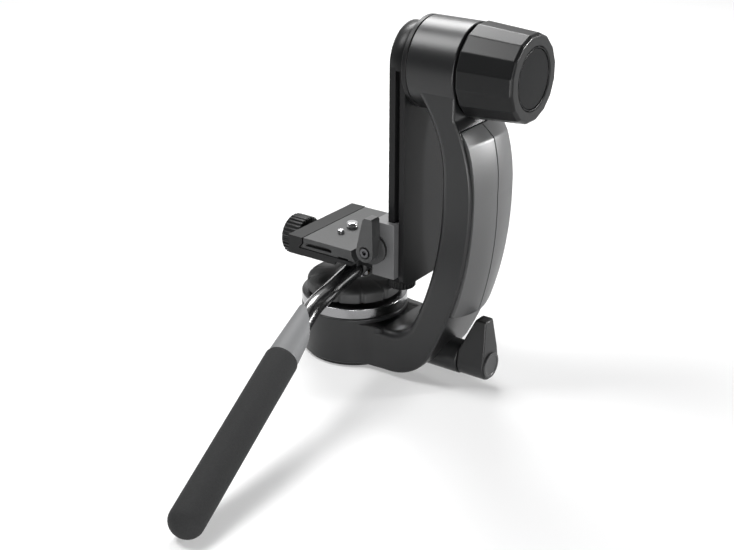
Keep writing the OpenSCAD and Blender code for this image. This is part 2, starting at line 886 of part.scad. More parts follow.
module tilt_shaft() {
    color("#9a9b9e")
        difference() {
            at_tilt()
                union() {
                    x_rod(plate_x, cradle_x, flange_r);
                    x_rod(plate_x, spring_x + spring_h, shaft_r);
                    x_rod(spring_x, knob_nut_x1 + 3, stud_r);
                }
            at_cradle_screws()
                cradle_screw(seat);
            at_tilt()
                rotate([0, 90, 0])
                    clip_groove(knob_nut_x1 + rub);
        }
}

module tilt_pressure_plate() {
    color("#9a9b9e")
        at_tilt()
            x_tube(pressure_x, spring_x, recess_r - 2 * pass, shaft_r + seat);
}

// Two coned washers, rim to rim
module tilt_disc_springs() {
    color("#7c7d80")
        at_tilt() {
            translate([spring_x + spring_h / 2, 0, 0])
                rotate([0, 90, 0])
                    disc_spring(recess_r - 4, shaft_r + seat, spring_h / 2, 0.8);
            translate([spring_x + spring_h / 2, 0, 0])
                rotate([0, -90, 0])
                    disc_spring(recess_r - 4, shaft_r + seat, spring_h / 2, 0.8);
        }
}

module shaft_clip() {
    color("#8c8d90")
        at_tilt()
            rotate([0, 90, 0])
                clip(knob_nut_x1 + rub);
}

// Tilt drag knob

// A thin slice of the knob's many-sided body, of radius r across its flats
module knob_slice(x, r) {
    slice_t = 0.01;
    translate([x, 0, 0])
        rotate([0, 90, 0])
            rotate([0, 0, 180 / knob_flats])
                linear_extrude(slice_t)
                    circle(r * knob_over, $fn = knob_flats);
}

module tilt_knob() {
    face_x = knob_x1 - knob_chamfer;
    web_x = knob_x1 - knob_web;
    color("#1f2021")
        at_tilt()
            difference() {
                hull() {
                    knob_slice(knob_x0, knob_r0 - knob_chamfer);
                    knob_slice(knob_x0 + knob_chamfer, knob_r0);
                    knob_slice(face_x, knob_r1);
                    knob_slice(knob_x1, knob_r1 - knob_chamfer);
                }
                x_tube(knob_x0 - 1, web_x, knob_r1 - knob_skirt, knob_hub_r);
                x_rod(knob_x0 - 1, knob_nut_x1, knob_nut_r + seat);
                x_rod(knob_nut_x1 - 1, knob_x1, stud_r + 2);
                x_rod(knob_x1 - cap_t - rub, knob_x1 + 1, cap_r + seat);
            }
}

module tilt_knob_cap() {
    color("#2c2d2e")
        at_tilt()
            x_rod(knob_x1 - cap_t - rub, knob_x1 - 0.4, cap_r);
}

module tilt_knob_insert() {
    color("#b08d4a")
        at_tilt()
            x_tube(knob_nut_x, knob_nut_x1, knob_nut_r, stud_r + run);
}

// Carrier, which slides on the cradle's rail

module carrier() {
    half = carrier_w / 2;
    color("#47484a")
        difference() {
            union() {
                box([carrier_x0, carrier_x1], [-half, half], [carrier_z0, carrier_z1]);
                for (side = [0, 1])
                    mirror([0, side, 0])
                        box([deck_x + clamp_w, carrier_x0 + 1], foot_lug, [carrier_z0, platform_z0 - rub]);
            }
            box([rail_x - pass, neck_x + pass], (cradle_w / 2 + pass) * [-1, 1], [carrier_z0 - 1, carrier_z1 + 1]);
            box([neck_x, carrier_x1 + 1], (neck_w / 2 + pass) * [-1, 1], [carrier_z0 - 1, carrier_z1 + 1]);
            at_lever() {
                y_rod(-half - 1, cam_w, cam_shaft_r + run);
                y_rod(-cam_w - pass, half + 1, cam_bore_r);
            }
            box([carrier_x0 - 1, lever_x], (cam_w + pass) * [-1, 1], [lever_z - cam_bore_r, lever_z + cam_bore_r]);
            translate([wheel_x, 0, 0])
                z_rod(carrier_z0 - 1, pad_z0 + 1, height_screw_r + run);
            box([carrier_x0 + 1, rail_x], [-4, 4], [pad_z0, pad_z0 + pad_h]);
            deck_screw_holes();
        }
}

module rail_clamp_pad() {
    color("#b08d4a")
        box([carrier_x0 + 1 + rub, groove_x - rub], [-4 + rub, 4 - rub], [pad_z0 + rub, pad_z0 + pad_h - rub]);
}

module deck_screw(gap = 0) {
    z_rod(carrier_z0 - 2.4, carrier_z0, 2 * deck_screw_r);
    z_rod(carrier_z0 - 1, floor_z1 - 1 + gap, deck_screw_r + gap);
}

module at_deck_screws() {
    for (side = [-1, 1])
        translate([(deck_x + clamp_w + carrier_x0) / 2, side * deck_screw_y, 0])
            children();
}

module deck_screw_holes() {
    at_deck_screws()
        deck_screw(seat);
}

module platform_screws() {
    color("#8c8d90")
        at_deck_screws()
            deck_screw();
}

// Section of the fixed jaw, with the undercut that holds the plate's dovetail
module fixed_jaw_outline() {
    x1 = qr_x0 - pass;
    polygon([[-platform_left, floor_z1 - 1], [x1 - dovetail, floor_z1 - 1], [x1 - dovetail, qr_z0],
             [x1, dovetail_z], [x1, platform_z], [-platform_left, platform_z]]);
}

module platform() {
    half = platform_l / 2;
    color("#4a4b4d")
        difference() {
            union() {
                box([-platform_left, deck_x], half * [-1, 1], [platform_z0, floor_z1]);
                box([deck_x - 1, carrier_x0 - rub], deck_w / 2 * [-1, 1], [platform_z0, floor_z1]);
                y_slab(-half, half)
                    fixed_jaw_outline();
                at_clamp() {
                    x_rod(-platform_left - 6, lug_x0 + 1, tube_r);
                    x_rod(lug_x0, lug_x0 + lug_w, lug_r);
                    x_rod(lug_x1 - lug_w, lug_x1, lug_r);
                }
                box([-platform_left, lug_x0 + 1], [-tube_r, tube_r], [handle_z, floor_z1 - 1]);
                for (x = [lug_x0, lug_x1 - lug_w])
                    box([x, x + lug_w], [-lug_r, lug_r], [handle_z, floor_z1 - 1]);
            }
            difference() {
                box([-platform_left + skirt, deck_x - skirt], (half - skirt) * [-1, 1],
                    [platform_z0 - 1, floor_z1 - floor_t]);
                box([-platform_left, lug_x0 + 1], [-tube_r, tube_r], [handle_z, floor_z1]);
                for (x = [lug_x0, lug_x1 - lug_w])
                    box([x, x + lug_w], [-lug_r, lug_r], [handle_z, floor_z1]);
            }
            box([eye_x0 - pass, eye_x1 + pass], (eye_r + 1) * [-1, 1], [handle_z, floor_z1 + 1]);
            at_rod()
                box([socket_u, platform_l], (rod_r + relief) * [-1, 1], [-platform_h, floor_z1 - floor_t - rod_z]);
            at_clamp()
                x_rod(-platform_left - 10, lug_x1 + 1, clamp_bolt_r + run);
            deck_screw_holes();
        }
}

module height_wheel() {
    color("#1f2021")
        translate([wheel_x, 0, 0])
            difference() {
                union() {
                    translate([0, 0, wheel_z0])
                        linear_extrude(wheel_h)
                            polygon(knurl(wheel_r, 0.6, 24));
                    z_rod(wheel_z1 - 1, carrier_z0 - pass, height_screw_r + 1.4);
                }
                z_rod(wheel_z0 + 2, carrier_z0, height_screw_r + seat);
            }
}

module height_screw() {
    color("#8c8d90")
        translate([wheel_x, 0, 0])
            z_rod(wheel_z0 + 2, pad_z0, height_screw_r);
}

// Quick-release clamp

module lever_outline() {
    polygon(concat(
        arc([0, 0], lever_r, 165, 360, 24),
        [[lever_r - 0.4, lever_l - 1], [lever_r - 1.2, lever_l], [0, lever_l], [-1.2, lever_l - 1.4]]
    ));
}

module qr_lever() {
    color("#58595b")
        at_lever()
            difference() {
                union() {
                    y_slab(lever_y0, lever_y1 - lever_disc_t)
                        lever_outline();
                    y_rod(lever_y1 - lever_disc_t - 1, lever_y1, lever_r + 3);
                }
                y_rod(lever_y0 - 1, lever_y0 + 2, 3.6);
                y_rod(lever_y0, lever_y1 - 4, 1.5 + seat);
                y_rod(lever_y1 - 4, lever_y1 + 1, cam_shaft_r + seat);
            }
}

module lever_screw() {
    color("#8c8d90")
        at_lever()
            difference() {
                union() {
                    y_rod(lever_y0 - 0.2, lever_y0 + 2, 2.6);
                    y_rod(lever_y0 + 1, lever_y1 + 6, 1.5);
                }
                y_rod(lever_y0 - 1, lever_y0 + 1.4, 1.3);
            }
}

module cam_shaft() {
    y1 = carrier_w / 2 - 0.5;
    color("#9a9b9e")
        at_lever()
            difference() {
                union() {
                    y_rod(lever_y1 - 4, y1, cam_shaft_r);
                    translate([-cam_throw, 0, 0])
                        y_rod(-cam_w, cam_w, cam_r);
                    y_rod(y1 - journal_w, y1, cam_bore_r - run);
                }
                y_rod(lever_y1 - 5, lever_y1 + 6 + seat, 1.5 + seat);
            }
}

module movable_jaw() {
    half = carrier_w / 2 - 2 * pass;
    color("#3c3d3f") {
        y_slab(-half, half)
            polygon([[clamp_x0 + dovetail, qr_z0], [clamp_x0 + clamp_w, qr_z0], [clamp_x0 + clamp_w, clamp_top],
                     [clamp_x0, clamp_top], [clamp_x0, dovetail_z]]);
        box([clamp_x0 + clamp_w - 1.5, post_x1], [-cam_w + 0.5, cam_w - 0.5], [qr_z0, lever_z + 3]);
    }
}

// Quick-release plate

module qr_outline() {
    polygon([[qr_x0 - dovetail, qr_z0], [qr_x1 + dovetail, qr_z0], [qr_x1, dovetail_z], [qr_x1, platform_z],
             [qr_x0, platform_z], [qr_x0, dovetail_z]]);
}

module at_camera_screw() translate([qr_mid + camera_screw_x, camera_screw_y, 0]) children();
module at_pin() at_camera_screw() translate([0, -pin_gap, 0]) children();

module qr_plate() {
    half = qr_l / 2;
    color("#57585a")
        difference() {
            y_slab(-half, half)
                qr_outline();
            at_camera_screw() {
                z_rod(qr_z0 - 1, platform_z + 1, camera_screw_r + run);
                z_rod(qr_z0 - 1, qr_z0 + screw_flange_h + clip_t + 2 * pass, screw_flange_r + run);
            }
            at_pin() {
                z_rod(qr_z0 - 1, platform_z + 1, pin_r + run);
                z_rod(qr_z0 - 1, platform_z - 1.2, pin_r + 1);
            }
            translate([qr_x0 + 2, -half - 1, qr_z0 + 1.8])
                cube([18, 4, 2]);
            translate([qr_x1 - 9, -half - 1, qr_z0 - 1])
                cube([7, 3, 2]);
        }
}

module camera_screw() {
    color("#d5d6d8")
        at_camera_screw()
            difference() {
                union() {
                    z_rod(platform_z + screw_start, platform_z + camera_screw_h, camera_screw_r);
                    z_rod(qr_z0 + pass, platform_z + screw_start + 1, screw_neck_r);
                    z_rod(qr_z0 + pass, qr_z0 + screw_flange_h, screw_flange_r);
                }
                translate([-0.7, -12, qr_z0 - 1])
                    cube([1.4, 24, 2]);
            }
}

module camera_screw_clip() {
    color("#8c8d90")
        at_camera_screw()
            translate([0, 0, qr_z0 + screw_flange_h + rub])
                tube(clip_t, camera_screw_r + 1.6, screw_neck_r + seat);
}

module anti_twist_pin() {
    color("#d5d6d8")
        at_pin() {
            z_rod(platform_z - 3.3, platform_z + pin_h, pin_r);
            z_rod(platform_z - 2.2, platform_z - 1.2 - rub, pin_r + 0.8);
        }
}

module pin_spring() {
    color("#7c7d80")
        at_pin()
            translate([0, 0, qr_z0 + rub])
                tube(platform_z - 2.2 - rub - qr_z0 - rub, pin_r + 0.8, pin_r + 0.2);
}

// Handle, which swings on its clamp bolt

module handle_eye() {
    color("#3c3d3f")
        difference() {
            union() {
                at_clamp()
                    x_rod(eye_x0, eye_x1, eye_r);
                at_rod()
                    x_rod(0, socket_u, rod_r + socket_wall);
            }
            at_clamp()
                x_rod(eye_x0 - 5, eye_x1 + 5, clamp_bolt_r + run);
            at_rod() {
                x_rod(rod_in, socket_u + 1, rod_r + seat);
                translate([socket_u - 5, 0, 0])
                    z_rod(-rod_r - socket_wall - 1, 0, 1.25 + seat);
            }
        }
}

module rod_set_screw() {
    color("#8c8d90")
        at_rod()
            translate([socket_u - 5, 0, 0])
                z_rod(-rod_r - socket_wall, -rod_r - seat, 1.25);
}

module handle_rod() {
    color("#141415")
        at_rod()
            skin([for (s = rod_stations) rod_ring(s)]);
}

// A cone with a slanting cut at its narrow end
module handle_ferrule() {
    wall = [[rod_r + seat, -cut_u], [ferrule_r, -cut_u], [grip_r - 0.6, ferrule_l], [rod_r + seat, ferrule_l]];
    block = 60;
    color("#7f8083")
        at_grip()
            difference() {
                rotate([0, 90, 0])
                    rotate_extrude()
                        polygon(wall);
                translate([cut_u, 0, 0])
                    rotate([cut_turn, 0, 0])
                        rotate([0, -cut_a, 0])
                            translate([-block, -block / 2, -block / 2])
                                cube(block);
            }
}

module handle_grip() {
    color("#3b3b3c")
        at_grip()
            translate([ferrule_l, 0, 0])
                rotate([0, 90, 0])
                    rotate_extrude()
                        polygon(concat(
                            [[rod_r + seat, 0], [grip_r - 1, 0], [grip_r, 1], [grip_r, grip_l - grip_end]],
                            [for (i = [1 : 6]) [grip_r * cos(15 * i), grip_l - grip_end + grip_end * sin(15 * i)]],
                            [[0, grip_l - grip_end - 6 + seat], [rod_r + seat, grip_l - grip_end - 6 + seat]]
                        ));
}

module clamp_knob() {
    color("#2a2b2c")
        at_clamp()
            difference() {
                union() {
                    translate([clamp_knob_x0, 0, 0])
                        rotate([0, 90, 0])
                            linear_extrude(clamp_knob_l)
                                polygon(knurl(clamp_knob_r, 0.7, 30));
                    x_rod(clamp_knob_x1 - 1, -platform_left - 6 - pass, clamp_bolt_r + 4);
                }
                x_rod(clamp_bolt_x0, clamp_knob_x1 + 10, clamp_bolt_r + seat);
            }
}

module clamp_bolt() {
    color("#8c8d90")
        at_clamp()
            x_rod(clamp_bolt_x0, lug_x1 - 0.5, clamp_bolt_r);
}

base_foot();
pan_spindle();
foot_screws();
pan_ring();
ring_dowel();
pan_disc_spring();
spindle_clip();
pan_drag_disk();
pan_disk_insert();
arm_casting();
arm_cover();
pan_bushes();
pan_friction_washer();
tilt_bushes();
thrust_washer();
tilt_friction_disc();
brake_shoe();
pan_lock_lever();
pan_lock_screw();
pan_lock_cap();
cradle();
tilt_shaft();
cradle_screws();
rail_stop_screws();
tilt_pressure_plate();
tilt_disc_springs();
shaft_clip();
tilt_knob();
tilt_knob_cap();
tilt_knob_insert();
carrier();
rail_clamp_pad();
platform();
platform_screws();
height_wheel();
height_screw();
qr_lever();
lever_screw();
cam_shaft();
movable_jaw();
qr_plate();
camera_screw();
camera_screw_clip();
anti_twist_pin();
pin_spring();
handle_eye();
handle_rod();
handle_ferrule();
handle_grip();
rod_set_screw();
clamp_knob();
clamp_bolt();
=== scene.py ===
import json
from math import acos, asin, atan2, cos, pi, radians, sin, sqrt

import bmesh
import bpy
from mathutils import Matrix, Vector


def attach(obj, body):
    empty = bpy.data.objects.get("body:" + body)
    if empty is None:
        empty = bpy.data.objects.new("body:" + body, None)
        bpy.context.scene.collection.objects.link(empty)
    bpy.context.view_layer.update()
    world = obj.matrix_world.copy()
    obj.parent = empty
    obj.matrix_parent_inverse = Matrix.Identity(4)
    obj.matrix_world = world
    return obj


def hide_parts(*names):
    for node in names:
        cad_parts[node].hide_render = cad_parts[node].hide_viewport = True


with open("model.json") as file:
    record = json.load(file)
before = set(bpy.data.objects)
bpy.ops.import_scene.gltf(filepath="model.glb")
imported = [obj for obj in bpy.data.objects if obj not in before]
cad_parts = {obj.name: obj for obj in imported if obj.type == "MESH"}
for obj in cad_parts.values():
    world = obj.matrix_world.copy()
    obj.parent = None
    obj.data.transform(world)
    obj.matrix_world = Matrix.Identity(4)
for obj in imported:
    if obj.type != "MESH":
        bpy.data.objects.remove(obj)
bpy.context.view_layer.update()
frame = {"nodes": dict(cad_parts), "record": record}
mm = 0.001
weldGap = 0.002 * mm


# Camera, light and floor

view = {"place": (0.4075, -0.5590, 0.3493), "lean": 66.2, "turn": 35.5, "lens": 63.76}
light = {"backdrop": 0.65, "room": 0.08, "fill": 0.35, "floorColour": (0.64, 0.64, 0.64, 1),
         "floorGlow": (0.29, 0.6), "glowFrom": 0.22, "glowTo": 0.7}
softboxes = [  # name, place, aim, width, height, power, spread of the beam in degrees
    ("backRightBox", (1.10, 0.92, 0.42), (0.09, 0.0, 0.16), 0.24, 0.24, 0.29, 13),
    ("highBox", (-0.40, 0.48, 0.86), (0.05, 0.0, 0.15), 0.45, 0.4, 9.0, 180),
    ("highLeftBox", (-0.40, -0.30, 0.90), (0.03, -0.02, 0.06), 0.4, 0.4, 8.0, 180),
    ("rightStrip", (0.80, -0.48, 0.22), (0.09, 0.0, 0.13), 0.2, 0.4, 3.0, 180),
    ("frontBox", (0.33, -0.56, 0.07), (0.02, 0.0, 0.06), 0.12, 0.12, 1.6, 180),
]


def addCamera():
    data = bpy.data.cameras.new("viewCamera")
    data.sensor_width = 36
    data.lens = view["lens"]
    camera = bpy.data.objects.new("viewCamera", data)
    camera.location = view["place"]
    camera.rotation_euler = (radians(view["lean"]), 0, radians(view["turn"]))
    bpy.context.collection.objects.link(camera)
    bpy.context.scene.camera = camera


def addSoftbox(name, place, aim, width, height, power, spread):
    data = bpy.data.lights.new(name, "AREA")
    data.shape = "RECTANGLE"
    data.size = width
    data.size_y = height
    data.energy = power
    data.spread = radians(spread)
    lamp = bpy.data.objects.new(name, data)
    lamp.location = place
    lamp.visible_camera = False
    lamp.rotation_euler = (Vector(aim) - Vector(place)).to_track_quat("-Z", "Y").to_euler()
    bpy.context.collection.objects.link(lamp)


def seenDirectly(tree):
    # 1 for rays that show the backdrop: camera, glossy and clear ones
    path = tree.nodes.new("ShaderNodeLightPath")
    glossy = tree.nodes.new("ShaderNodeMath")
    glossy.operation = "MAXIMUM"
    clear = tree.nodes.new("ShaderNodeMath")
    clear.operation = "MAXIMUM"
    tree.links.new(path.outputs["Is Camera Ray"], glossy.inputs[0])
    tree.links.new(path.outputs["Is Glossy Ray"], glossy.inputs[1])
    tree.links.new(glossy.outputs[0], clear.inputs[0])
    tree.links.new(path.outputs["Is Transmission Ray"], clear.inputs[1])
    return clear.outputs[0]


def addWorld():
    # white sweep behind the head, a darker room in front of it
    world = bpy.data.worlds.new("whiteStudio")
    world.use_nodes = True
    tree = world.node_tree
    background = tree.nodes["Background"]
    background.inputs["Color"].default_value = (1, 1, 1, 1)
    facing = tree.nodes.new("ShaderNodeVectorMath")
    facing.operation = "DOT_PRODUCT"
    facing.inputs[1].default_value = (-sin(radians(view["turn"])), cos(radians(view["turn"])), 0.15)
    coords = tree.nodes.new("ShaderNodeTexCoord")
    tree.links.new(coords.outputs["Generated"], facing.inputs[0])
    sweep = tree.nodes.new("ShaderNodeMapRange")
    sweep.interpolation_type = "SMOOTHSTEP"
    sweep.inputs["From Min"].default_value = -0.25
    sweep.inputs["From Max"].default_value = 0.55
    sweep.inputs["To Min"].default_value = light["room"]
    sweep.inputs["To Max"].default_value = light["backdrop"]
    tree.links.new(facing.outputs["Value"], sweep.inputs["Value"])
    path = tree.nodes.new("ShaderNodeLightPath")
    straight = tree.nodes.new("ShaderNodeMath")  # the camera sees white all round
    straight.operation = "MAXIMUM"
    tree.links.new(path.outputs["Is Camera Ray"], straight.inputs[0])
    tree.links.new(sweep.outputs["Result"], straight.inputs[1])
    shown = tree.nodes.new("ShaderNodeMath")
    shown.operation = "MULTIPLY"
    level = tree.nodes.new("ShaderNodeMapRange")
    level.inputs["To Min"].default_value = light["fill"]
    level.inputs["To Max"].default_value = 1.0
    tree.links.new(seenDirectly(tree), level.inputs["Value"])
    tree.links.new(straight.outputs[0], shown.inputs[0])
    tree.links.new(level.outputs["Result"], shown.inputs[1])
    tree.links.new(shown.outputs[0], background.inputs["Strength"])
    bpy.context.scene.world = world


def addFloor():
    bm = bmesh.new()
    bmesh.ops.create_grid(bm, x_segments=1, y_segments=1, size=6)
    mesh = bpy.data.meshes.new("floor")
    bm.to_mesh(mesh)
    bm.free()
    floor = bpy.data.objects.new("floor", mesh)
    bpy.context.collection.objects.link(floor)
    paper = bpy.data.materials.new("whitePaper")
    paper.use_nodes = True
    tree = paper.node_tree
    matte = tree.nodes["Principled BSDF"]
    matte.inputs["Base Color"].default_value = light["floorColour"]
    matte.inputs["Roughness"].default_value = 0.9
    matte.inputs["Specular IOR Level"].default_value = 0.1
    glow = tree.nodes.new("ShaderNodeEmission")
    both = tree.nodes.new("ShaderNodeAddShader")
    share = tree.nodes.new("ShaderNodeMath")
    share.operation = "MULTIPLY"
    place = tree.nodes.new("ShaderNodeTexCoord")
    away = tree.nodes.new("ShaderNodeVectorMath")
    away.operation = "LENGTH"
    tree.links.new(place.outputs["Object"], away.inputs[0])
    spread = tree.nodes.new("ShaderNodeMapRange")  # the shadow keeps near the object, the rest runs to white
    spread.interpolation_type = "SMOOTHSTEP"
    spread.inputs["From Min"].default_value = light["glowFrom"]
    spread.inputs["From Max"].default_value = light["glowTo"]
    spread.inputs["To Min"].default_value = light["floorGlow"][0]
    spread.inputs["To Max"].default_value = light["floorGlow"][1]
    tree.links.new(away.outputs["Value"], spread.inputs["Value"])
    tree.links.new(spread.outputs["Result"], share.inputs[1])
    tree.links.new(seenDirectly(tree), share.inputs[0])
    tree.links.new(share.outputs[0], glow.inputs["Strength"])
    tree.links.new(matte.outputs["BSDF"], both.inputs[0])
    tree.links.new(glow.outputs["Emission"], both.inputs[1])
    tree.links.new(both.outputs["Shader"], tree.nodes["Material Output"].inputs["Surface"])
    mesh.materials.append(paper)


bpy.context.scene.view_settings.view_transform = "Standard"
addCamera()
addWorld()
addFloor()
for box in softboxes:
    addSoftbox(*box)
print("camera, light and floor set")


# Finishes

def addSocket(group, name, kind, way, value=None):
    socket = group.interface.new_socket(name=name, in_out=way, socket_type=kind)
    if value is not None:
        socket.default_value = value


def makeGrainGroup():
    # fine cast or moulded grain: speckled colour, uneven sheen and a height for a bump
    group = bpy.data.node_groups.new("surfaceGrain", "ShaderNodeTree")
    addSocket(group, "Colour", "NodeSocketColor", "INPUT", (0.05, 0.05, 0.05, 1))
    addSocket(group, "Size", "NodeSocketFloat", "INPUT", 1500)
    addSocket(group, "Speckle", "NodeSocketFloat", "INPUT", 0.2)
    addSocket(group, "Rough", "NodeSocketFloat", "INPUT", 0.4)
    addSocket(group, "Spread", "NodeSocketFloat", "INPUT", 0.08)
    addSocket(group, "Colour", "NodeSocketColor", "OUTPUT")
    addSocket(group, "Roughness", "NodeSocketFloat", "OUTPUT")
    addSocket(group, "Height", "NodeSocketFloat", "OUTPUT")
    nodes = group.nodes
    links = group.links
    given = nodes.new("NodeGroupInput")
    out = nodes.new("NodeGroupOutput")
    place = nodes.new("ShaderNodeTexCoord")
    fine = nodes.new("ShaderNodeTexNoise")
    fine.inputs["Detail"].default_value = 3
    cloudy = nodes.new("ShaderNodeTexNoise")
    cloudy.inputs["Scale"].default_value = 38
    cloudy.inputs["Detail"].default_value = 4
    links.new(place.outputs["Object"], fine.inputs["Vector"])
    links.new(place.outputs["Object"], cloudy.inputs["Vector"])
    links.new(given.outputs["Size"], fine.inputs["Scale"])
    swing = nodes.new("ShaderNodeMath")  # noise to -0.5 .. 0.5
    swing.operation = "SUBTRACT"
    swing.inputs[1].default_value = 0.5
    links.new(fine.outputs["Fac"], swing.inputs[0])
    tint = nodes.new("ShaderNodeMath")
    tint.operation = "MULTIPLY_ADD"
    tint.inputs[2].default_value = 1.0
    links.new(swing.outputs[0], tint.inputs[0])
    links.new(given.outputs["Speckle"], tint.inputs[1])
    shade = nodes.new("ShaderNodeVectorMath")
    shade.operation = "SCALE"
    links.new(given.outputs["Colour"], shade.inputs[0])
    links.new(tint.outputs[0], shade.inputs["Scale"])
    drift = nodes.new("ShaderNodeMath")
    drift.operation = "SUBTRACT"
    drift.inputs[1].default_value = 0.5
    links.new(cloudy.outputs["Fac"], drift.inputs[0])
    uneven = nodes.new("ShaderNodeMath")
    uneven.operation = "MULTIPLY_ADD"
    links.new(drift.outputs[0], uneven.inputs[0])
    links.new(given.outputs["Spread"], uneven.inputs[1])
    links.new(given.outputs["Rough"], uneven.inputs[2])
    links.new(shade.outputs[0], out.inputs["Colour"])
    links.new(uneven.outputs[0], out.inputs["Roughness"])
    links.new(fine.outputs["Fac"], out.inputs["Height"])
    return group


grainGroup = makeGrainGroup()


def makeFinish(name, colour, rough, size=1500, speckle=0.2, spread=0.08, bump=0.02, metallic=0.0, specular=0.5,
               coat=0.0, sheen=0.0):
    material = bpy.data.materials.new(name)
    material.use_nodes = True
    tree = material.node_tree
    shader = tree.nodes["Principled BSDF"]
    grain = tree.nodes.new("ShaderNodeGroup")
    grain.node_tree = grainGroup
    grain.inputs["Colour"].default_value = (*colour, 1)
    grain.inputs["Size"].default_value = size
    grain.inputs["Speckle"].default_value = speckle
    grain.inputs["Rough"].default_value = rough
    grain.inputs["Spread"].default_value = spread
    relief = tree.nodes.new("ShaderNodeBump")
    relief.inputs["Strength"].default_value = 1.0
    relief.inputs["Distance"].default_value = bump * mm
    tree.links.new(grain.outputs["Colour"], shader.inputs["Base Color"])
    tree.links.new(grain.outputs["Roughness"], shader.inputs["Roughness"])
    tree.links.new(grain.outputs["Height"], relief.inputs["Height"])
    tree.links.new(relief.outputs["Normal"], shader.inputs["Normal"])
    shader.inputs["Metallic"].default_value = metallic
    shader.inputs["Specular IOR Level"].default_value = specular
    shader.inputs["Coat Weight"].default_value = coat
    shader.inputs["Coat Roughness"].default_value = 0.08
    shader.inputs["Sheen Weight"].default_value = sheen
    return material


finishValues = {
    "castBlack": {"colour": (0.011, 0.0113, 0.0118), "rough": 0.34, "size": 1900, "bump": 0.012, "specular": 0.37},
    "coverBlack": {"colour": (0.034, 0.0344, 0.0352), "rough": 0.42, "size": 2100, "bump": 0.05, "specular": 0.8},
    # the cradle's finish is castBlack made darker and less glossy: painted shade for the cradle's inner face
    "cradleShadedBlack": {"colour": (0.008, 0.0082, 0.0085), "rough": 0.38, "size": 1900, "bump": 0.008, "specular": 0.17},
    "deckGrey": {"colour": (0.008, 0.0082, 0.0085), "rough": 0.42, "size": 1700, "bump": 0.012, "specular": 0.2},
    "carrierGrey": {"colour": (0.100, 0.101, 0.103), "rough": 0.42, "size": 1700, "bump": 0.012, "specular": 0.7},
    "plateGrey": {"colour": (0.022, 0.0225, 0.023), "rough": 0.5, "size": 900, "speckle": 0.5, "bump": 0.04},
    "leverGrey": {"colour": (0.032, 0.0325, 0.033), "rough": 0.38, "size": 1700, "bump": 0.01},
    "knobBlack": {"colour": (0.007, 0.0072, 0.0075), "rough": 0.34, "size": 2400, "bump": 0.008, "specular": 0.2},
    "capBlack": {"colour": (0.007, 0.0072, 0.0075), "rough": 0.32, "size": 1400, "bump": 0.02, "specular": 0.06},
    "gripBlack": {"colour": (0.022, 0.0222, 0.0225), "rough": 0.6, "size": 1500, "bump": 0.02},
    "rodGloss": {"colour": (0.006, 0.006, 0.0065), "rough": 0.24, "size": 900, "spread": 0.03, "bump": 0.001,
                 "specular": 0.9, "coat": 0.8},
    "ferruleGrey": {"colour": (0.13, 0.132, 0.135), "rough": 0.62, "size": 2600, "bump": 0.006},
    "foamGrey": {"colour": (0.018, 0.0183, 0.0187), "rough": 0.8, "size": 1600, "speckle": 0.7, "bump": 0.16,
                 "sheen": 0.02, "specular": 0.2},
    # the polished ring's chrome is dulled to a dark grey: painted shade, so it reflects its white surroundings dark
    "ringShadedChrome": {"colour": (0.26, 0.26, 0.265), "rough": 0.24, "size": 700, "speckle": 0.03, "bump": 0.0005,
                   "metallic": 1},
    "brightSteel": {"colour": (0.66, 0.66, 0.67), "rough": 0.22, "size": 900, "speckle": 0.05, "bump": 0.002,
                    "metallic": 1},
    "darkSteel": {"colour": (0.10, 0.10, 0.105), "rough": 0.3, "size": 900, "speckle": 0.1, "bump": 0.003,
                  "metallic": 1},
    "turnedSteel": {"colour": (0.42, 0.42, 0.43), "rough": 0.32, "size": 900, "speckle": 0.1, "bump": 0.003,
                    "metallic": 1},
    "turnedBrass": {"colour": (0.60, 0.43, 0.19), "rough": 0.32, "size": 900, "speckle": 0.1, "bump": 0.003,
                    "metallic": 1},
    "fibreGrey": {"colour": (0.16, 0.155, 0.15), "rough": 0.7, "size": 1200, "speckle": 0.5, "bump": 0.02},
}
finishes = {name: makeFinish(name, **values) for name, values in finishValues.items()}
slotFinish = {
    "casting": "castBlack", "cover": "coverBlack", "plate_metal": "plateGrey", "lever_metal": "leverGrey",
    "ferrule_metal": "ferruleGrey", "knob_plastic": "knobBlack", "black_rod": "rodGloss", "foam": "foamGrey",
    "polished_ring": "ringShadedChrome", "bright_steel": "brightSteel", "steel": "turnedSteel", "brass": "turnedBrass",
    "friction": "fibreGrey",
}
darkScrews = ("lever_screw", "rod_set_screw")
for subpart in frame["record"]["subparts"]:
    solid = frame["nodes"][subpart["node"]]
    solid.data.materials.clear()
    finish = "darkSteel" if subpart["node"] in darkScrews else slotFinish[subpart["material_slot"]]
    solid.data.materials.append(finishes[finish])
print("finishes made")


# Tools for the pieces: outlines and profiles are in millimetres

def arcPoints(centre, radius, start, end, steps=16):
    turns = [radians(start + (end - start) * i / steps) for i in range(steps + 1)]
    return [(centre[0] + radius * cos(t), centre[1] + radius * sin(t)) for t in turns]


def slab(outline, axis, low, high):
    bm = bmesh.new()
    place = {"x": lambda u, v: (low, u, v), "y": lambda u, v: (u, low, v), "z": lambda u, v: (u, v, low)}[axis]
    face = bm.faces.new([bm.verts.new(Vector(place(u, v)) * mm) for u, v in outline])
    grown = bmesh.ops.extrude_face_region(bm, geom=[face])["geom"]
    way = Vector((axis == "x", axis == "y", axis == "z"))
    moved = [g for g in grown if isinstance(g, bmesh.types.BMVert)]
    bmesh.ops.translate(bm, verts=moved, vec=way * (high - low) * mm)
    clean(bm)
    return bm


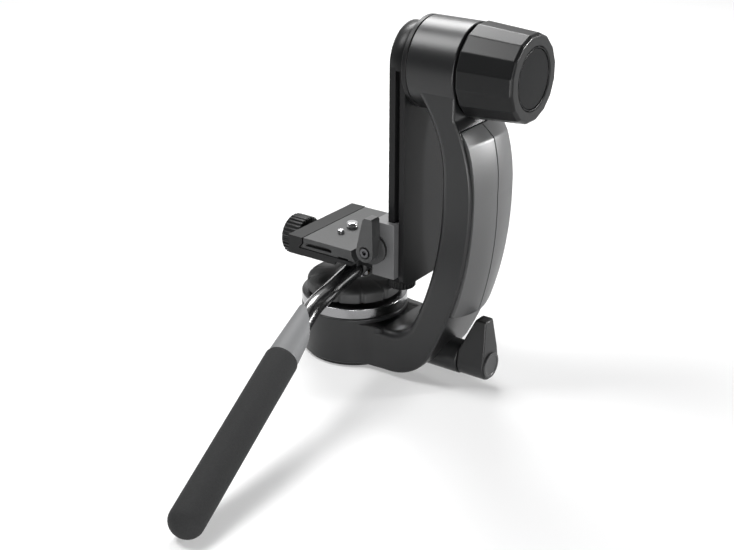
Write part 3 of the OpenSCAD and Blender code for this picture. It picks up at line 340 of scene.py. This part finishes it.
def turned(profile, centre=(0, 0, 0), along=(0, 0, 1), steps=64, start=0):
    # profile points are distance along the axis and radius
    bm = bmesh.new()
    axis = Vector(along).normalized()
    side = Matrix.Rotation(radians(start), 3, axis) @ axis.orthogonal().normalized()
    middle = Vector(centre) * mm
    chain = [bm.verts.new(middle + (axis * d + side * r) * mm) for d, r in profile]
    edges = [bm.edges.new(pair) for pair in zip(chain, chain[1:])]
    if profile[0][1] > 0 and profile[-1][1] > 0:
        edges.append(bm.edges.new((chain[-1], chain[0])))
    bmesh.ops.spin(bm, geom=chain + edges, cent=middle, axis=axis, angle=2 * pi, steps=steps, use_merge=True)
    clean(bm)
    return bm


def clean(bm):
    bmesh.ops.remove_doubles(bm, verts=bm.verts, dist=weldGap)
    bmesh.ops.recalc_face_normals(bm, faces=bm.faces)


def soften(bm, width, steps=3, corner=28, keep=None):
    sharp = [e for e in bm.edges if len(e.link_faces) == 2 and e.calc_face_angle() > radians(corner)]
    if keep:
        sharp = [e for e in sharp if keep(e)]
    bmesh.ops.bevel(bm, geom=sharp, offset=width * mm, offset_type="OFFSET", segments=steps, profile=0.5,
                    affect="EDGES", clamp_overlap=True, material=-1)
    return bm


def solidCopy(node, width=0.4, steps=2, corner=28, shortest=2.0):
    # a CAD solid with its longer edges rounded
    bm = bmesh.new()
    bm.from_mesh(frame["nodes"][node].data)
    bmesh.ops.remove_doubles(bm, verts=bm.verts, dist=weldGap)
    bmesh.ops.dissolve_limit(bm, angle_limit=radians(0.5), verts=bm.verts, edges=bm.edges)
    return soften(bm, width, steps, corner, lambda e: e.calc_length() > shortest * mm)


def addPiece(name, shells, body, nodes, finish):
    joined = bmesh.new()
    for shell in shells:
        mesh = bpy.data.meshes.new(name)
        shell.to_mesh(mesh)
        shell.free()
        joined.from_mesh(mesh)
        bpy.data.meshes.remove(mesh)
    for face in joined.faces:
        face.smooth = True
    mesh = bpy.data.meshes.new(name)
    joined.to_mesh(mesh)
    joined.free()
    mesh.materials.append(finishes[finish])
    piece = bpy.data.objects.new(name, mesh)
    bpy.context.collection.objects.link(piece)
    flat = piece.modifiers.new("flatFaces", "WEIGHTED_NORMAL")
    flat.keep_sharp = True
    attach(piece, body)
    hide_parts(*nodes)
    return piece


# Arm with its hub, boss and pan-lock boss

arm = {
    "half": 22, "depth": 18.5, "floor": 2.5, "limbTop": 27.5, "bellyX": 89.2, "bellyZ": 113, "leanZ": 122,
    "outerLow": 200, "outerHigh": 90, "innerHigh": 70, "corner": 30, "innerCorner": 16,
    "coverLow": 46, "coverHigh": 151, "coverSink": 2.0, "outerRound": 1.5, "innerRound": 4.5,
    "bossR": 31, "bossTop": 30, "blend": 20, "hubR": 24.3, "hubLow": 50, "hubHigh": 78, "tiltZ": 178.4,
    "lockZ": 13.5, "lockR": 9.4, "lockFrom": 34, "lockReach": 75.6, "bossBore": 17, "hubBore": 9, "recessR": 20.3,
    "recessX": 68, "limbIn": 4,
}


def armOutline():
    a = arm
    lowC = (a["bellyX"] - a["outerLow"], a["bellyZ"])
    highC = (a["bellyX"] - a["outerHigh"], a["bellyZ"])
    innerLow = a["outerLow"] - a["depth"]
    innerC = (a["bellyX"] - a["depth"] - a["innerHigh"], a["leanZ"])
    cornerZ = a["floor"] + a["corner"]
    cornerX = lowC[0] + sqrt((a["outerLow"] - a["corner"]) ** 2 - (a["bellyZ"] - cornerZ) ** 2)
    cornerA = atan2(cornerZ - a["bellyZ"], cornerX - lowC[0]) * 180 / pi
    nookZ = a["limbTop"] + a["innerCorner"]
    nookX = sqrt((innerLow - a["innerCorner"]) ** 2 - (a["bellyZ"] - nookZ) ** 2)
    nookA = atan2(nookZ - a["bellyZ"], nookX) * 180 / pi
    coverA = asin((a["coverLow"] - a["bellyZ"]) / a["outerLow"]) * 180 / pi
    coverB = asin((a["coverHigh"] - a["bellyZ"]) / a["outerHigh"]) * 180 / pi
    topA = acos((a["hubHigh"] - highC[0]) / a["outerHigh"]) * 180 / pi
    innerTop = acos((a["hubLow"] + a["limbIn"] - innerC[0]) / a["innerHigh"]) * 180 / pi
    outer = (arcPoints((cornerX, cornerZ), a["corner"], -90, cornerA, 14)
             + arcPoints(lowC, a["outerLow"], cornerA, coverA, 4)[1:]
             + arcPoints(lowC, a["outerLow"], coverA, 0, 16)[1:]
             + arcPoints(highC, a["outerHigh"], 0, coverB, 12)[1:]
             + arcPoints(highC, a["outerHigh"], coverB, topA, 4)[1:]
             + [(a["hubHigh"], a["tiltZ"])])
    inner = ([(a["hubLow"] + a["limbIn"], a["tiltZ"])]
             + arcPoints(innerC, a["innerHigh"], innerTop, 0, 20)
             + arcPoints(lowC, innerLow, 0, nookA, 16)[1:]
             + arcPoints((lowC[0] + nookX, nookZ), a["innerCorner"], nookA, -90, 14)[1:]
             + [(0, a["limbTop"])])
    return [(0, a["floor"])] + outer + inner, inner


def makeArm():
    a = arm
    outline, inner = armOutline()
    band = slab(outline, "y", -a["half"], a["half"])
    inside = {(round(x, 3), round(z, 3)) for x, z in inner}

    def onInner(edge):
        return all((round(v.co.x / mm, 3), round(v.co.z / mm, 3)) in inside for v in edge.verts)

    soften(band, a["innerRound"], 6, 60, onInner)
    limit = a["half"] - 0.01
    soften(band, a["outerRound"], 3, 60, lambda e: all(abs(v.co.y) > limit * mm for v in e.verts))
    # the cover's bed, sunk into the outer face
    low, high = a["coverLow"] - 0.1, a["coverHigh"] + 0.1
    bed = [f for f in band.faces if f.normal.x > 0.3 and abs(f.normal.y) < 0.05
           and all(low < v.co.z / mm < high for v in f.verts)]
    bmesh.ops.inset_region(band, faces=bed, thickness=0.05 * mm, use_even_offset=True)
    bmesh.ops.inset_region(band, faces=bed, thickness=0.05 * mm, depth=-a["coverSink"] * mm, use_even_offset=True)
    hub = turned([(a["hubLow"], a["hubBore"]), (a["hubLow"], a["hubR"]), (a["hubHigh"], a["hubR"]),
                  (a["hubHigh"], a["recessR"]), (a["recessX"], a["recessR"]), (a["recessX"], a["hubBore"])],
                 (0, 0, a["tiltZ"]), (1, 0, 0), 96)
    soften(hub, 0.7, 3)
    boss = turned([(a["floor"], a["bossBore"]), (a["floor"], a["bossR"]), (a["bossTop"], a["bossR"]),
                   (a["bossTop"], a["bossBore"])], steps=96)
    soften(boss, 0.8, 3)
    shells = [band, hub, boss]
    away = a["half"] + a["blend"]
    centreX = sqrt((a["bossR"] + a["blend"] - 0.2) ** 2 - away ** 2)
    for side in (-1, 1):
        start = atan2(-away, -centreX) * 180 / pi
        curve = arcPoints((centreX, away), a["blend"], start, -90, 14)
        runOut = [(centreX + 6, a["half"] - 0.4), (centreX + 6, 0)]  # dips under the limb's flat side
        web = [(x, y * side) for x, y in [(0, 0)] + curve + runOut]
        fillet = slab(web, "z", a["floor"], a["limbTop"])
        top = (a["limbTop"] - 0.01) * mm
        soften(fillet, a["innerRound"], 6, 60, lambda e: all(v.co.z > top for v in e.verts))
        shells.append(soften(fillet, a["outerRound"], 3, 60, lambda e: all(v.co.z < top - 10 * mm for v in e.verts)))
    lock = turned([(a["lockFrom"], 0), (a["lockFrom"], a["lockR"]), (a["lockReach"], a["lockR"]), (a["lockReach"], 0)],
                  (0, 0, a["lockZ"]), (1, 0, 0), 64)
    shells.append(soften(lock, 0.8, 3))
    return addPiece("arm_body", shells, "arm", ["arm_casting"], "castBlack")


makeArm()

cover = {"half": 19.7, "under": -1.9, "edge": 1.1, "crown": 2.3, "seam": 0.4, "seamDepth": 1.5, "low": 46.6,
         "high": 150.4, "bend": 142.5, "swellLow": 1.8, "swellHigh": 1.5, "endShare": 0.15}


def coverShare(z):
    # the rise grows toward both ends, then slopes down at the top
    c = cover
    if z < arm["bellyZ"]:
        return 1 + (c["swellLow"] - 1) * (arm["bellyZ"] - z) / (arm["bellyZ"] - c["low"])
    if z < c["bend"]:
        return 1 + (c["swellHigh"] - 1) * (z - arm["bellyZ"]) / (c["bend"] - arm["bellyZ"])
    return c["swellHigh"] + (c["endShare"] - c["swellHigh"]) * (z - c["bend"]) / (c["high"] - c["bend"])


def makeCover():
    a = arm
    rise = [(cover["edge"] + cover["crown"] * sin(radians(15 * i)),
             -cover["half"] + (cover["half"] - cover["seam"]) * i / 6) for i in range(7)]
    side = [(cover["under"], -cover["half"])] + rise + [(rise[-1][0] - cover["seamDepth"], -cover["seam"])]
    section = side + [(d, -y) for d, y in reversed(side)]
    bm = bmesh.new()
    spans = [(a["outerLow"], asin((a["bellyZ"] - cover["low"]) / a["outerLow"]), 20),
             (a["outerHigh"], -asin((cover["high"] - a["bellyZ"]) / a["outerHigh"]), 48)]
    for radius, angle, steps in spans:
        ring = [bm.verts.new(Vector((a["bellyX"] + d, y, a["bellyZ"])) * mm) for d, y in section]
        loop = [bm.edges.new((ring[i - 1], ring[i])) for i in range(len(ring))]
        middle = Vector((a["bellyX"] - radius, 0, a["bellyZ"])) * mm
        grown = set(bm.verts) - set(ring)
        bmesh.ops.spin(bm, geom=ring + loop, cent=middle, axis=(0, 1, 0), angle=angle, steps=steps)
        for vert in set(bm.verts) - grown:
            out = vert.co - middle
            out.y = 0
            over = out.length - radius * mm
            if over > 0:
                turn = asin(out.z / out.length)
                vert.co += out.normalized() * over * (coverShare(a["bellyZ"] + radius * sin(turn)) - 1)
    bmesh.ops.remove_doubles(bm, verts=bm.verts, dist=weldGap)
    bmesh.ops.holes_fill(bm, edges=[e for e in bm.edges if e.is_boundary], sides=0)
    bmesh.ops.recalc_face_normals(bm, faces=bm.faces)
    soften(bm, 0.5, 3, 35)
    return addPiece("arm_cover_shell", [bm], "arm", ["arm_cover"], "coverBlack")


makeCover()
print("arm and cover made")


# Tilt knob with its cap, and the washer beside the hub

knob = {"low": 79, "high": 110.6, "wide": 24.5, "narrow": 22.5, "chamfer": 1.2, "flats": 16, "capR": 15.3,
        "capSink": 0.4, "capThick": 2.4, "capSeat": 7, "hubR": 14, "ridge": 0.55, "bezelDepth": 6, "bezelIn": 0.25,
        "bezelOut": 1.6}


def makeTiltKnob():
    k = knob
    over = 1 / cos(pi / k["flats"])
    profile = [(k["low"], k["hubR"] * over), (k["low"], (k["wide"] - k["chamfer"]) * over),
               (k["low"] + k["chamfer"], k["wide"] * over), (k["high"] - k["chamfer"], k["narrow"] * over),
               (k["high"], (k["narrow"] - k["chamfer"]) * over), (k["high"], k["capR"] * over + 0.1),
               (k["high"] - k["capSeat"], k["capR"] * over + 0.1), (k["high"] - k["capSeat"], k["hubR"] * over)]
    body = turned(profile, (0, 0, arm["tiltZ"]), (1, 0, 0), k["flats"], 180 / k["flats"])
    soften(body, k["ridge"], 3, 15)
    low, inner, outer = k["high"] - k["bezelDepth"], k["capR"] + k["bezelIn"], k["capR"] + k["bezelOut"]
    bezel = turned([(low, inner), (low, outer), (k["high"], outer), (k["high"], inner)],
                   (0, 0, arm["tiltZ"]), (1, 0, 0), 96)
    soften(bezel, 0.3, 2)
    addPiece("tilt_knob_body", [body, bezel], "tilt_knob", ["tilt_knob"], "knobBlack")
    top = k["high"] - k["capSink"]
    cap = turned([(top - k["capThick"], 0), (top - k["capThick"], k["capR"]), (top, k["capR"]), (top, 0)],
                 (0, 0, arm["tiltZ"]), (1, 0, 0), 96)
    soften(cap, 0.5, 3)
    addPiece("tilt_knob_cap_disc", [cap], "tilt_knob", ["tilt_knob_cap"], "capBlack")


washer = {"low": 47.1, "high": 49.9, "bore": 8.4, "r": 24.3}


def makeThrustWasher():
    w = washer
    ring = turned([(w["low"], w["bore"]), (w["low"], w["r"]), (w["high"], w["r"]), (w["high"], w["bore"])],
                  (0, 0, arm["tiltZ"]), (1, 0, 0), 96)
    soften(ring, 0.5, 3)
    addPiece("thrust_ring", [ring], "arm", ["thrust_washer"], "deckGrey")


makeTiltKnob()
makeThrustWasher()
print("tilt knob made")


# Cradle, carrier, platform and plate: the CAD solids with rounded edges

rounded = [  # piece, node, body, slot, finish, rounding, shortest edge
    # the cradle rail takes the darkened cast finish: painted shade on its inner face
    ("cradle_rail", "cradle", "cradle", "casting", "cradleShadedBlack", 0.5, 1.2),
    ("carrier_block", "carrier", "carrier", "casting", "carrierGrey", 0.6, 3.0),
    ("platform_deck", "platform", "carrier", "casting", "deckGrey", 0.5, 3.0),
    ("plate_body", "qr_plate", "plate", "plate_metal", "plateGrey", 0.4, 3.0),
    ("jaw_body", "movable_jaw", "jaw", "plate_metal", "plateGrey", 0.4, 2.0),
    ("handle_hub", "handle_eye", "handle", "plate_metal", "castBlack", 0.3, 6.0),
    ("release_lever", "qr_lever", "qr_lever", "lever_metal", "leverGrey", 0.5, 0.6),
]
cradleHead = {"low": 37.8, "high": 46.4, "inner": 15.5, "r": 20.02, "from": 176}


def makeCradleHead():
    # closes the rail's groove round the top of the cradle
    h = cradleHead
    rim = turned([(h["low"], h["inner"]), (h["low"], h["r"]), (h["high"], h["r"]), (h["high"], h["inner"])],
                 (0, 0, arm["tiltZ"]), (1, 0, 0), 96)
    bmesh.ops.bisect_plane(rim, geom=rim.verts[:] + rim.edges[:] + rim.faces[:], clear_inner=True,
                           plane_co=(0, 0, h["from"] * mm), plane_no=(0, 0, 1))
    bmesh.ops.holes_fill(rim, edges=[e for e in rim.edges if e.is_boundary], sides=0)
    clean(rim)
    return rim


for piece, node, body, slot, finish, width, shortest in rounded:
    shells = [solidCopy(node, width, 3, 40, shortest)]
    if node == "cradle":
        shells.append(makeCradleHead())
    addPiece(piece, shells, body, [node], finish)
print("cradle, carrier and platform made")


# Handle: bent rod, slanted ferrule and foam grip

handle = {"eye": (8, 0, 57), "heading": 12.6, "rodR": 5, "rodIn": 5.5, "straight": 65, "bend": 40, "droop": 19.3,
          "ferrule": 32.5, "ferruleR": 6.2, "cutAt": 7, "cutLean": 56, "cutTurn": 45, "grip": 113.9, "gripR": 8.9,
          "gripEnd": 8, "gripRim": 1.6, "gripStep": 0.6, "rodTail": 132.5, "ferruleFrom": -7}


def handleFrame():
    h = radians(handle["heading"])
    forward = Vector((sin(h), -cos(h), 0))
    across = Vector((cos(h), sin(h), 0))
    d = radians(handle["droop"])
    down = forward * cos(d) - Vector((0, 0, 1)) * sin(d)
    bend = handle["bend"]
    joint = Vector(handle["eye"]) + forward * (handle["straight"] + bend * sin(d))
    joint += Vector((0, 0, bend * (cos(d) - 1)))
    return forward, across, down, joint


def makeRod():
    forward, across, down, joint = handleFrame()
    eye = Vector(handle["eye"])
    bm = bmesh.new()
    turn = forward.to_track_quat("Z", "Y").to_matrix().to_4x4()
    start = Matrix.Translation((eye + forward * handle["rodIn"]) * mm) @ turn
    bmesh.ops.create_circle(bm, cap_ends=True, segments=40, radius=handle["rodR"] * mm, matrix=start)
    edges = list(bm.edges)

    def run(vector):
        grown = bmesh.ops.extrude_edge_only(bm, edges=edges)["geom"]
        bmesh.ops.translate(bm, verts=[g for g in grown if isinstance(g, bmesh.types.BMVert)], vec=vector * mm)
        return [g for g in grown if isinstance(g, bmesh.types.BMEdge) and len(g.link_faces) == 1]

    edges = run(forward * (handle["straight"] - handle["rodIn"]))
    centre = eye + forward * handle["straight"] - Vector((0, 0, handle["bend"]))
    ring = [v for e in edges for v in e.verts]
    spun = bmesh.ops.spin(bm, geom=list(set(ring)) + edges, cent=centre * mm, axis=across,
                          angle=radians(handle["droop"]), steps=12)["geom_last"]
    edges = [g for g in spun if isinstance(g, bmesh.types.BMEdge)]
    edges = run(down * handle["rodTail"])
    bmesh.ops.holes_fill(bm, edges=edges, sides=0)
    clean(bm)
    addPiece("bent_rod", [bm], "handle", ["handle_rod"], "rodGloss")


def makeFerrule():
    across, down, joint = handleFrame()[1:]
    h = handle
    shell = turned([(h["ferruleFrom"], 0), (h["ferruleFrom"], h["ferruleR"]),
                    (h["ferrule"], h["gripR"] - h["gripStep"]), (h["ferrule"], 0)], joint, down, 64)
    up = across.cross(down) * -1
    lift = up * cos(radians(h["cutTurn"])) - across * sin(radians(h["cutTurn"]))
    lean = radians(h["cutLean"])
    normal = down * cos(lean) + lift * sin(lean)
    bmesh.ops.bisect_plane(shell, geom=shell.verts[:] + shell.edges[:] + shell.faces[:],
                           plane_co=(joint + down * h["cutAt"]) * mm, plane_no=normal, clear_inner=True)
    bmesh.ops.holes_fill(shell, edges=[e for e in shell.edges if e.is_boundary], sides=0)
    clean(shell)
    soften(shell, 0.35, 3, 40)
    addPiece("slanted_ferrule", [shell], "handle", ["handle_ferrule"], "ferruleGrey")


def makeGrip():
    down, joint = handleFrame()[2:]
    h = handle
    r, length, end, edge = h["gripR"], h["grip"], h["gripEnd"], h["gripRim"]
    rim = [(edge - edge * cos(radians(15 * i)), r - edge + edge * sin(radians(15 * i))) for i in range(7)]
    tip = [(length - end + end * sin(radians(9 * i)), r * cos(radians(9 * i))) for i in range(11)]
    middle = [(edge + (length - end - edge) * i / 24, r) for i in range(1, 24)]
    bm = turned([(0, 0)] + rim + middle + tip, joint + down * h["ferrule"], down, 72)
    grip = addPiece("foam_grip", [bm], "handle", ["handle_grip"], "foamGrey")


makeRod()
makeFerrule()
makeGrip()
print("handle made")


# Base: polished ring, ribbed drag disk and pan lock

pan = {
    "ringR": 30.8, "ringLow": 30.3, "ringHigh": 36.3, "ringBore": 12, "ribs": 12, "ribDepth": 1.3, "ribHalf": 3.2,
    "ribFrom": 15,
    "disk": [(38, 9.2), (38, 26.6), (38.3, 27.2), (39, 27.5), (43.2, 27.4), (44.2, 26.9), (45.1, 25.6), (45.8, 23.4),
             (46.4, 20), (46.8, 16), (47, 12), (47, 9.2)],
}
panLock = {"low": 75.9, "high": 92.4, "axisZ": 13.5, "r": 8.8, "reach": 27, "thick": 8, "top": 8, "capR": 7.5,
           "edge": 0.9, "topIn": 1.4, "capIn": 0.6, "capOut": 1, "dish": 0.35}


def groove(bm, axis, centre, outside, count, half, depth):
    # press grooves into the rim of a turned shape, along its axis
    side = axis.orthogonal().normalized()
    across = axis.cross(side)
    for vert in bm.verts:
        reach = vert.co - Vector(centre) * mm
        flat = reach - axis * reach.dot(axis)
        if flat.length < outside * mm:
            continue
        angle = atan2(flat.dot(across), flat.dot(side)) * 180 / pi
        off = (angle + 180 / count) % (360 / count) - 180 / count
        if abs(off) < half:
            vert.co -= flat.normalized() * depth * mm * cos(off / half * pi / 2) ** 2


def makePanBase():
    p = pan
    ring = turned([(p["ringLow"], p["ringBore"]), (p["ringLow"], p["ringR"]), (p["ringHigh"], p["ringR"]),
                   (p["ringHigh"], p["ringBore"])], steps=128)
    soften(ring, 0.45, 3)
    addPiece("pan_ring_polished", [ring], "base", ["pan_ring"], "ringShadedChrome")
    disk = turned(p["disk"], steps=240)
    groove(disk, Vector((0, 0, 1)), (0, 0, 0), p["ribFrom"], p["ribs"], p["ribHalf"], p["ribDepth"])
    addPiece("pan_disk_ribbed", [disk], "pan_disk", ["pan_drag_disk"], "gripBlack")


def makePanLock():
    k = panLock
    corner = Vector((k["thick"] / 2, k["reach"]))
    lean = atan2(corner.x, corner.y) + acos(k["r"] / corner.length)
    bottom = arcPoints((0, k["axisZ"]), k["r"], 90 - lean * 180 / pi, -270 + lean * 180 / pi, 40)
    top = k["axisZ"] + k["reach"]
    wing = slab(bottom + [(-corner.x, top), (corner.x, top)], "x", k["low"], k["high"])
    slopes = [((k["low"], k["r"] - 1), (k["high"] - k["top"], k["reach"]), -1),
              ((k["high"], k["r"]), (k["high"] - k["topIn"], k["reach"]), 1)]
    for foot, head, side in slopes:
        run = Vector((head[0] - foot[0], 0, head[1] - foot[1]))
        bmesh.ops.bisect_plane(wing, geom=wing.verts[:] + wing.edges[:] + wing.faces[:], clear_outer=True,
                               plane_co=Vector((foot[0], 0, foot[1] + k["axisZ"])) * mm,
                               plane_no=run.cross(Vector((0, -1, 0))) * side)
        bmesh.ops.holes_fill(wing, edges=[e for e in wing.edges if e.is_boundary], sides=0)
        clean(wing)
    soften(wing, k["edge"], 3, 30)
    addPiece("pan_lock_wing", [wing], "pan_lock", ["pan_lock_lever"], "castBlack")
    start, end = k["high"] - k["capIn"], k["high"] + k["capOut"]
    cap = turned([(start, 0), (start, k["capR"]), (end, k["capR"]), (end, k["capR"] - 1.5),
                  (end - k["dish"], k["capR"] - 1.9), (end - k["dish"], 0)], (0, 0, k["axisZ"]), (1, 0, 0), 64)
    soften(cap, 0.25, 2, 40)
    addPiece("pan_lock_end_cap", [cap], "pan_lock", ["pan_lock_cap"], "leverGrey")


makePanBase()
makePanLock()
print("pan base and lock made")


# Small controls: knurled clamp knob, height wheel, camera screw and pin

clampKnob = {"high": -30.3, "low": -45, "neck": -33, "r": 12, "axisZ": 60.5, "teeth": 30, "depth": 0.75,
             "toothHalf": 4.6, "bore": 3.3, "neckR": 7, "dish": 0.5}
heightWheel = {"x": 32.9, "low": 46.5, "high": 54.5, "r": 8, "teeth": 24, "depth": 0.6, "toothHalf": 5.4, "edge": 0.8,
               "stemR": 3.8, "stemUp": 6.2, "bore": 2.5}
cameraScrew = {"x": -0.85, "y": -1.0, "r": 3.175, "root": 2.65, "low": 74.5, "top": 77.7, "pitch": 1.27,
               "headLow": 68.1, "headHigh": 69.8, "headR": 6.1, "neckR": 2.7}
pin = {"x": -0.85, "y": -11.8, "r": 2.0, "low": 71, "top": 76.7}


def makeClampKnob():
    k = clampKnob
    shape = turned([(k["high"], k["bore"]), (k["high"], 6.6), (k["high"] - 0.4, k["neckR"]), (k["neck"], k["neckR"]),
                    (k["neck"], k["r"] - 1), (k["neck"] - 0.9, k["r"]), (k["low"] + 1.1, k["r"]),
                    (k["low"], k["r"] - 1.1), (k["low"], 8.4), (k["low"] + k["dish"], 7.8), (k["low"] + k["dish"], 0)],
                   (0, 0, k["axisZ"]), (1, 0, 0), k["teeth"] * 8)
    groove(shape, Vector((1, 0, 0)), (0, 0, k["axisZ"]), k["r"] - 0.5, k["teeth"], k["toothHalf"], k["depth"])
    addPiece("clamp_knob_knurled", [shape], "clamp_knob", ["clamp_knob"], "knobBlack")


def makeHeightWheel():
    w = heightWheel
    edge, stemTop = w["edge"], w["high"] + w["stemUp"]
    shape = turned([(w["low"], 0), (w["low"], w["r"] - edge), (w["low"] + edge, w["r"]), (w["high"] - edge, w["r"]),
                    (w["high"], w["r"] - edge), (w["high"], w["stemR"]), (stemTop, w["stemR"]), (stemTop, w["bore"])],
                   (w["x"], 0, 0), (0, 0, 1), w["teeth"] * 8)
    groove(shape, Vector((0, 0, 1)), (w["x"], 0, 0), w["r"] - 0.5, w["teeth"], w["toothHalf"], w["depth"])
    addPiece("height_wheel_knurled", [shape], "height_wheel", ["height_wheel"], "knobBlack")


def makeCameraScrew():
    s = cameraScrew
    profile = [(s["headLow"], 0), (s["headLow"], s["headR"]), (s["headHigh"], s["headR"]), (s["headHigh"], s["neckR"]),
               (s["low"], s["neckR"])]
    turns = int((s["top"] - 0.5 - s["low"]) / s["pitch"] * 2)
    for i in range(turns + 1):
        profile.append((s["low"] + s["pitch"] * i / 2, s["r"] if i % 2 else s["root"]))
    profile += [(s["top"] - 0.45, s["r"]), (s["top"] - 0.1, s["r"] - 0.4), (s["top"], s["r"] - 0.7), (s["top"], 0)]
    shape = turned(profile, (s["x"], s["y"], 0), (0, 0, 1), 48)
    addPiece("camera_screw_threaded", [soften(shape, 0.06, 2, 30)], "camera_screw", ["camera_screw"],
             "brightSteel")


def makePin():
    p = pin
    shape = turned([(p["low"], 0), (p["low"], p["r"]), (p["top"] - 0.7, p["r"]), (p["top"] - 0.25, p["r"] - 0.2),
                    (p["top"], p["r"] - 0.7), (p["top"], 0)], (p["x"], p["y"], 0), (0, 0, 1), 40)
    addPiece("twist_pin_rounded", [soften(shape, 0.12, 2, 40)], "pin", ["anti_twist_pin"],
             "brightSteel")


makeClampKnob()
makeHeightWheel()
makeCameraScrew()
makePin()
print("small controls made")
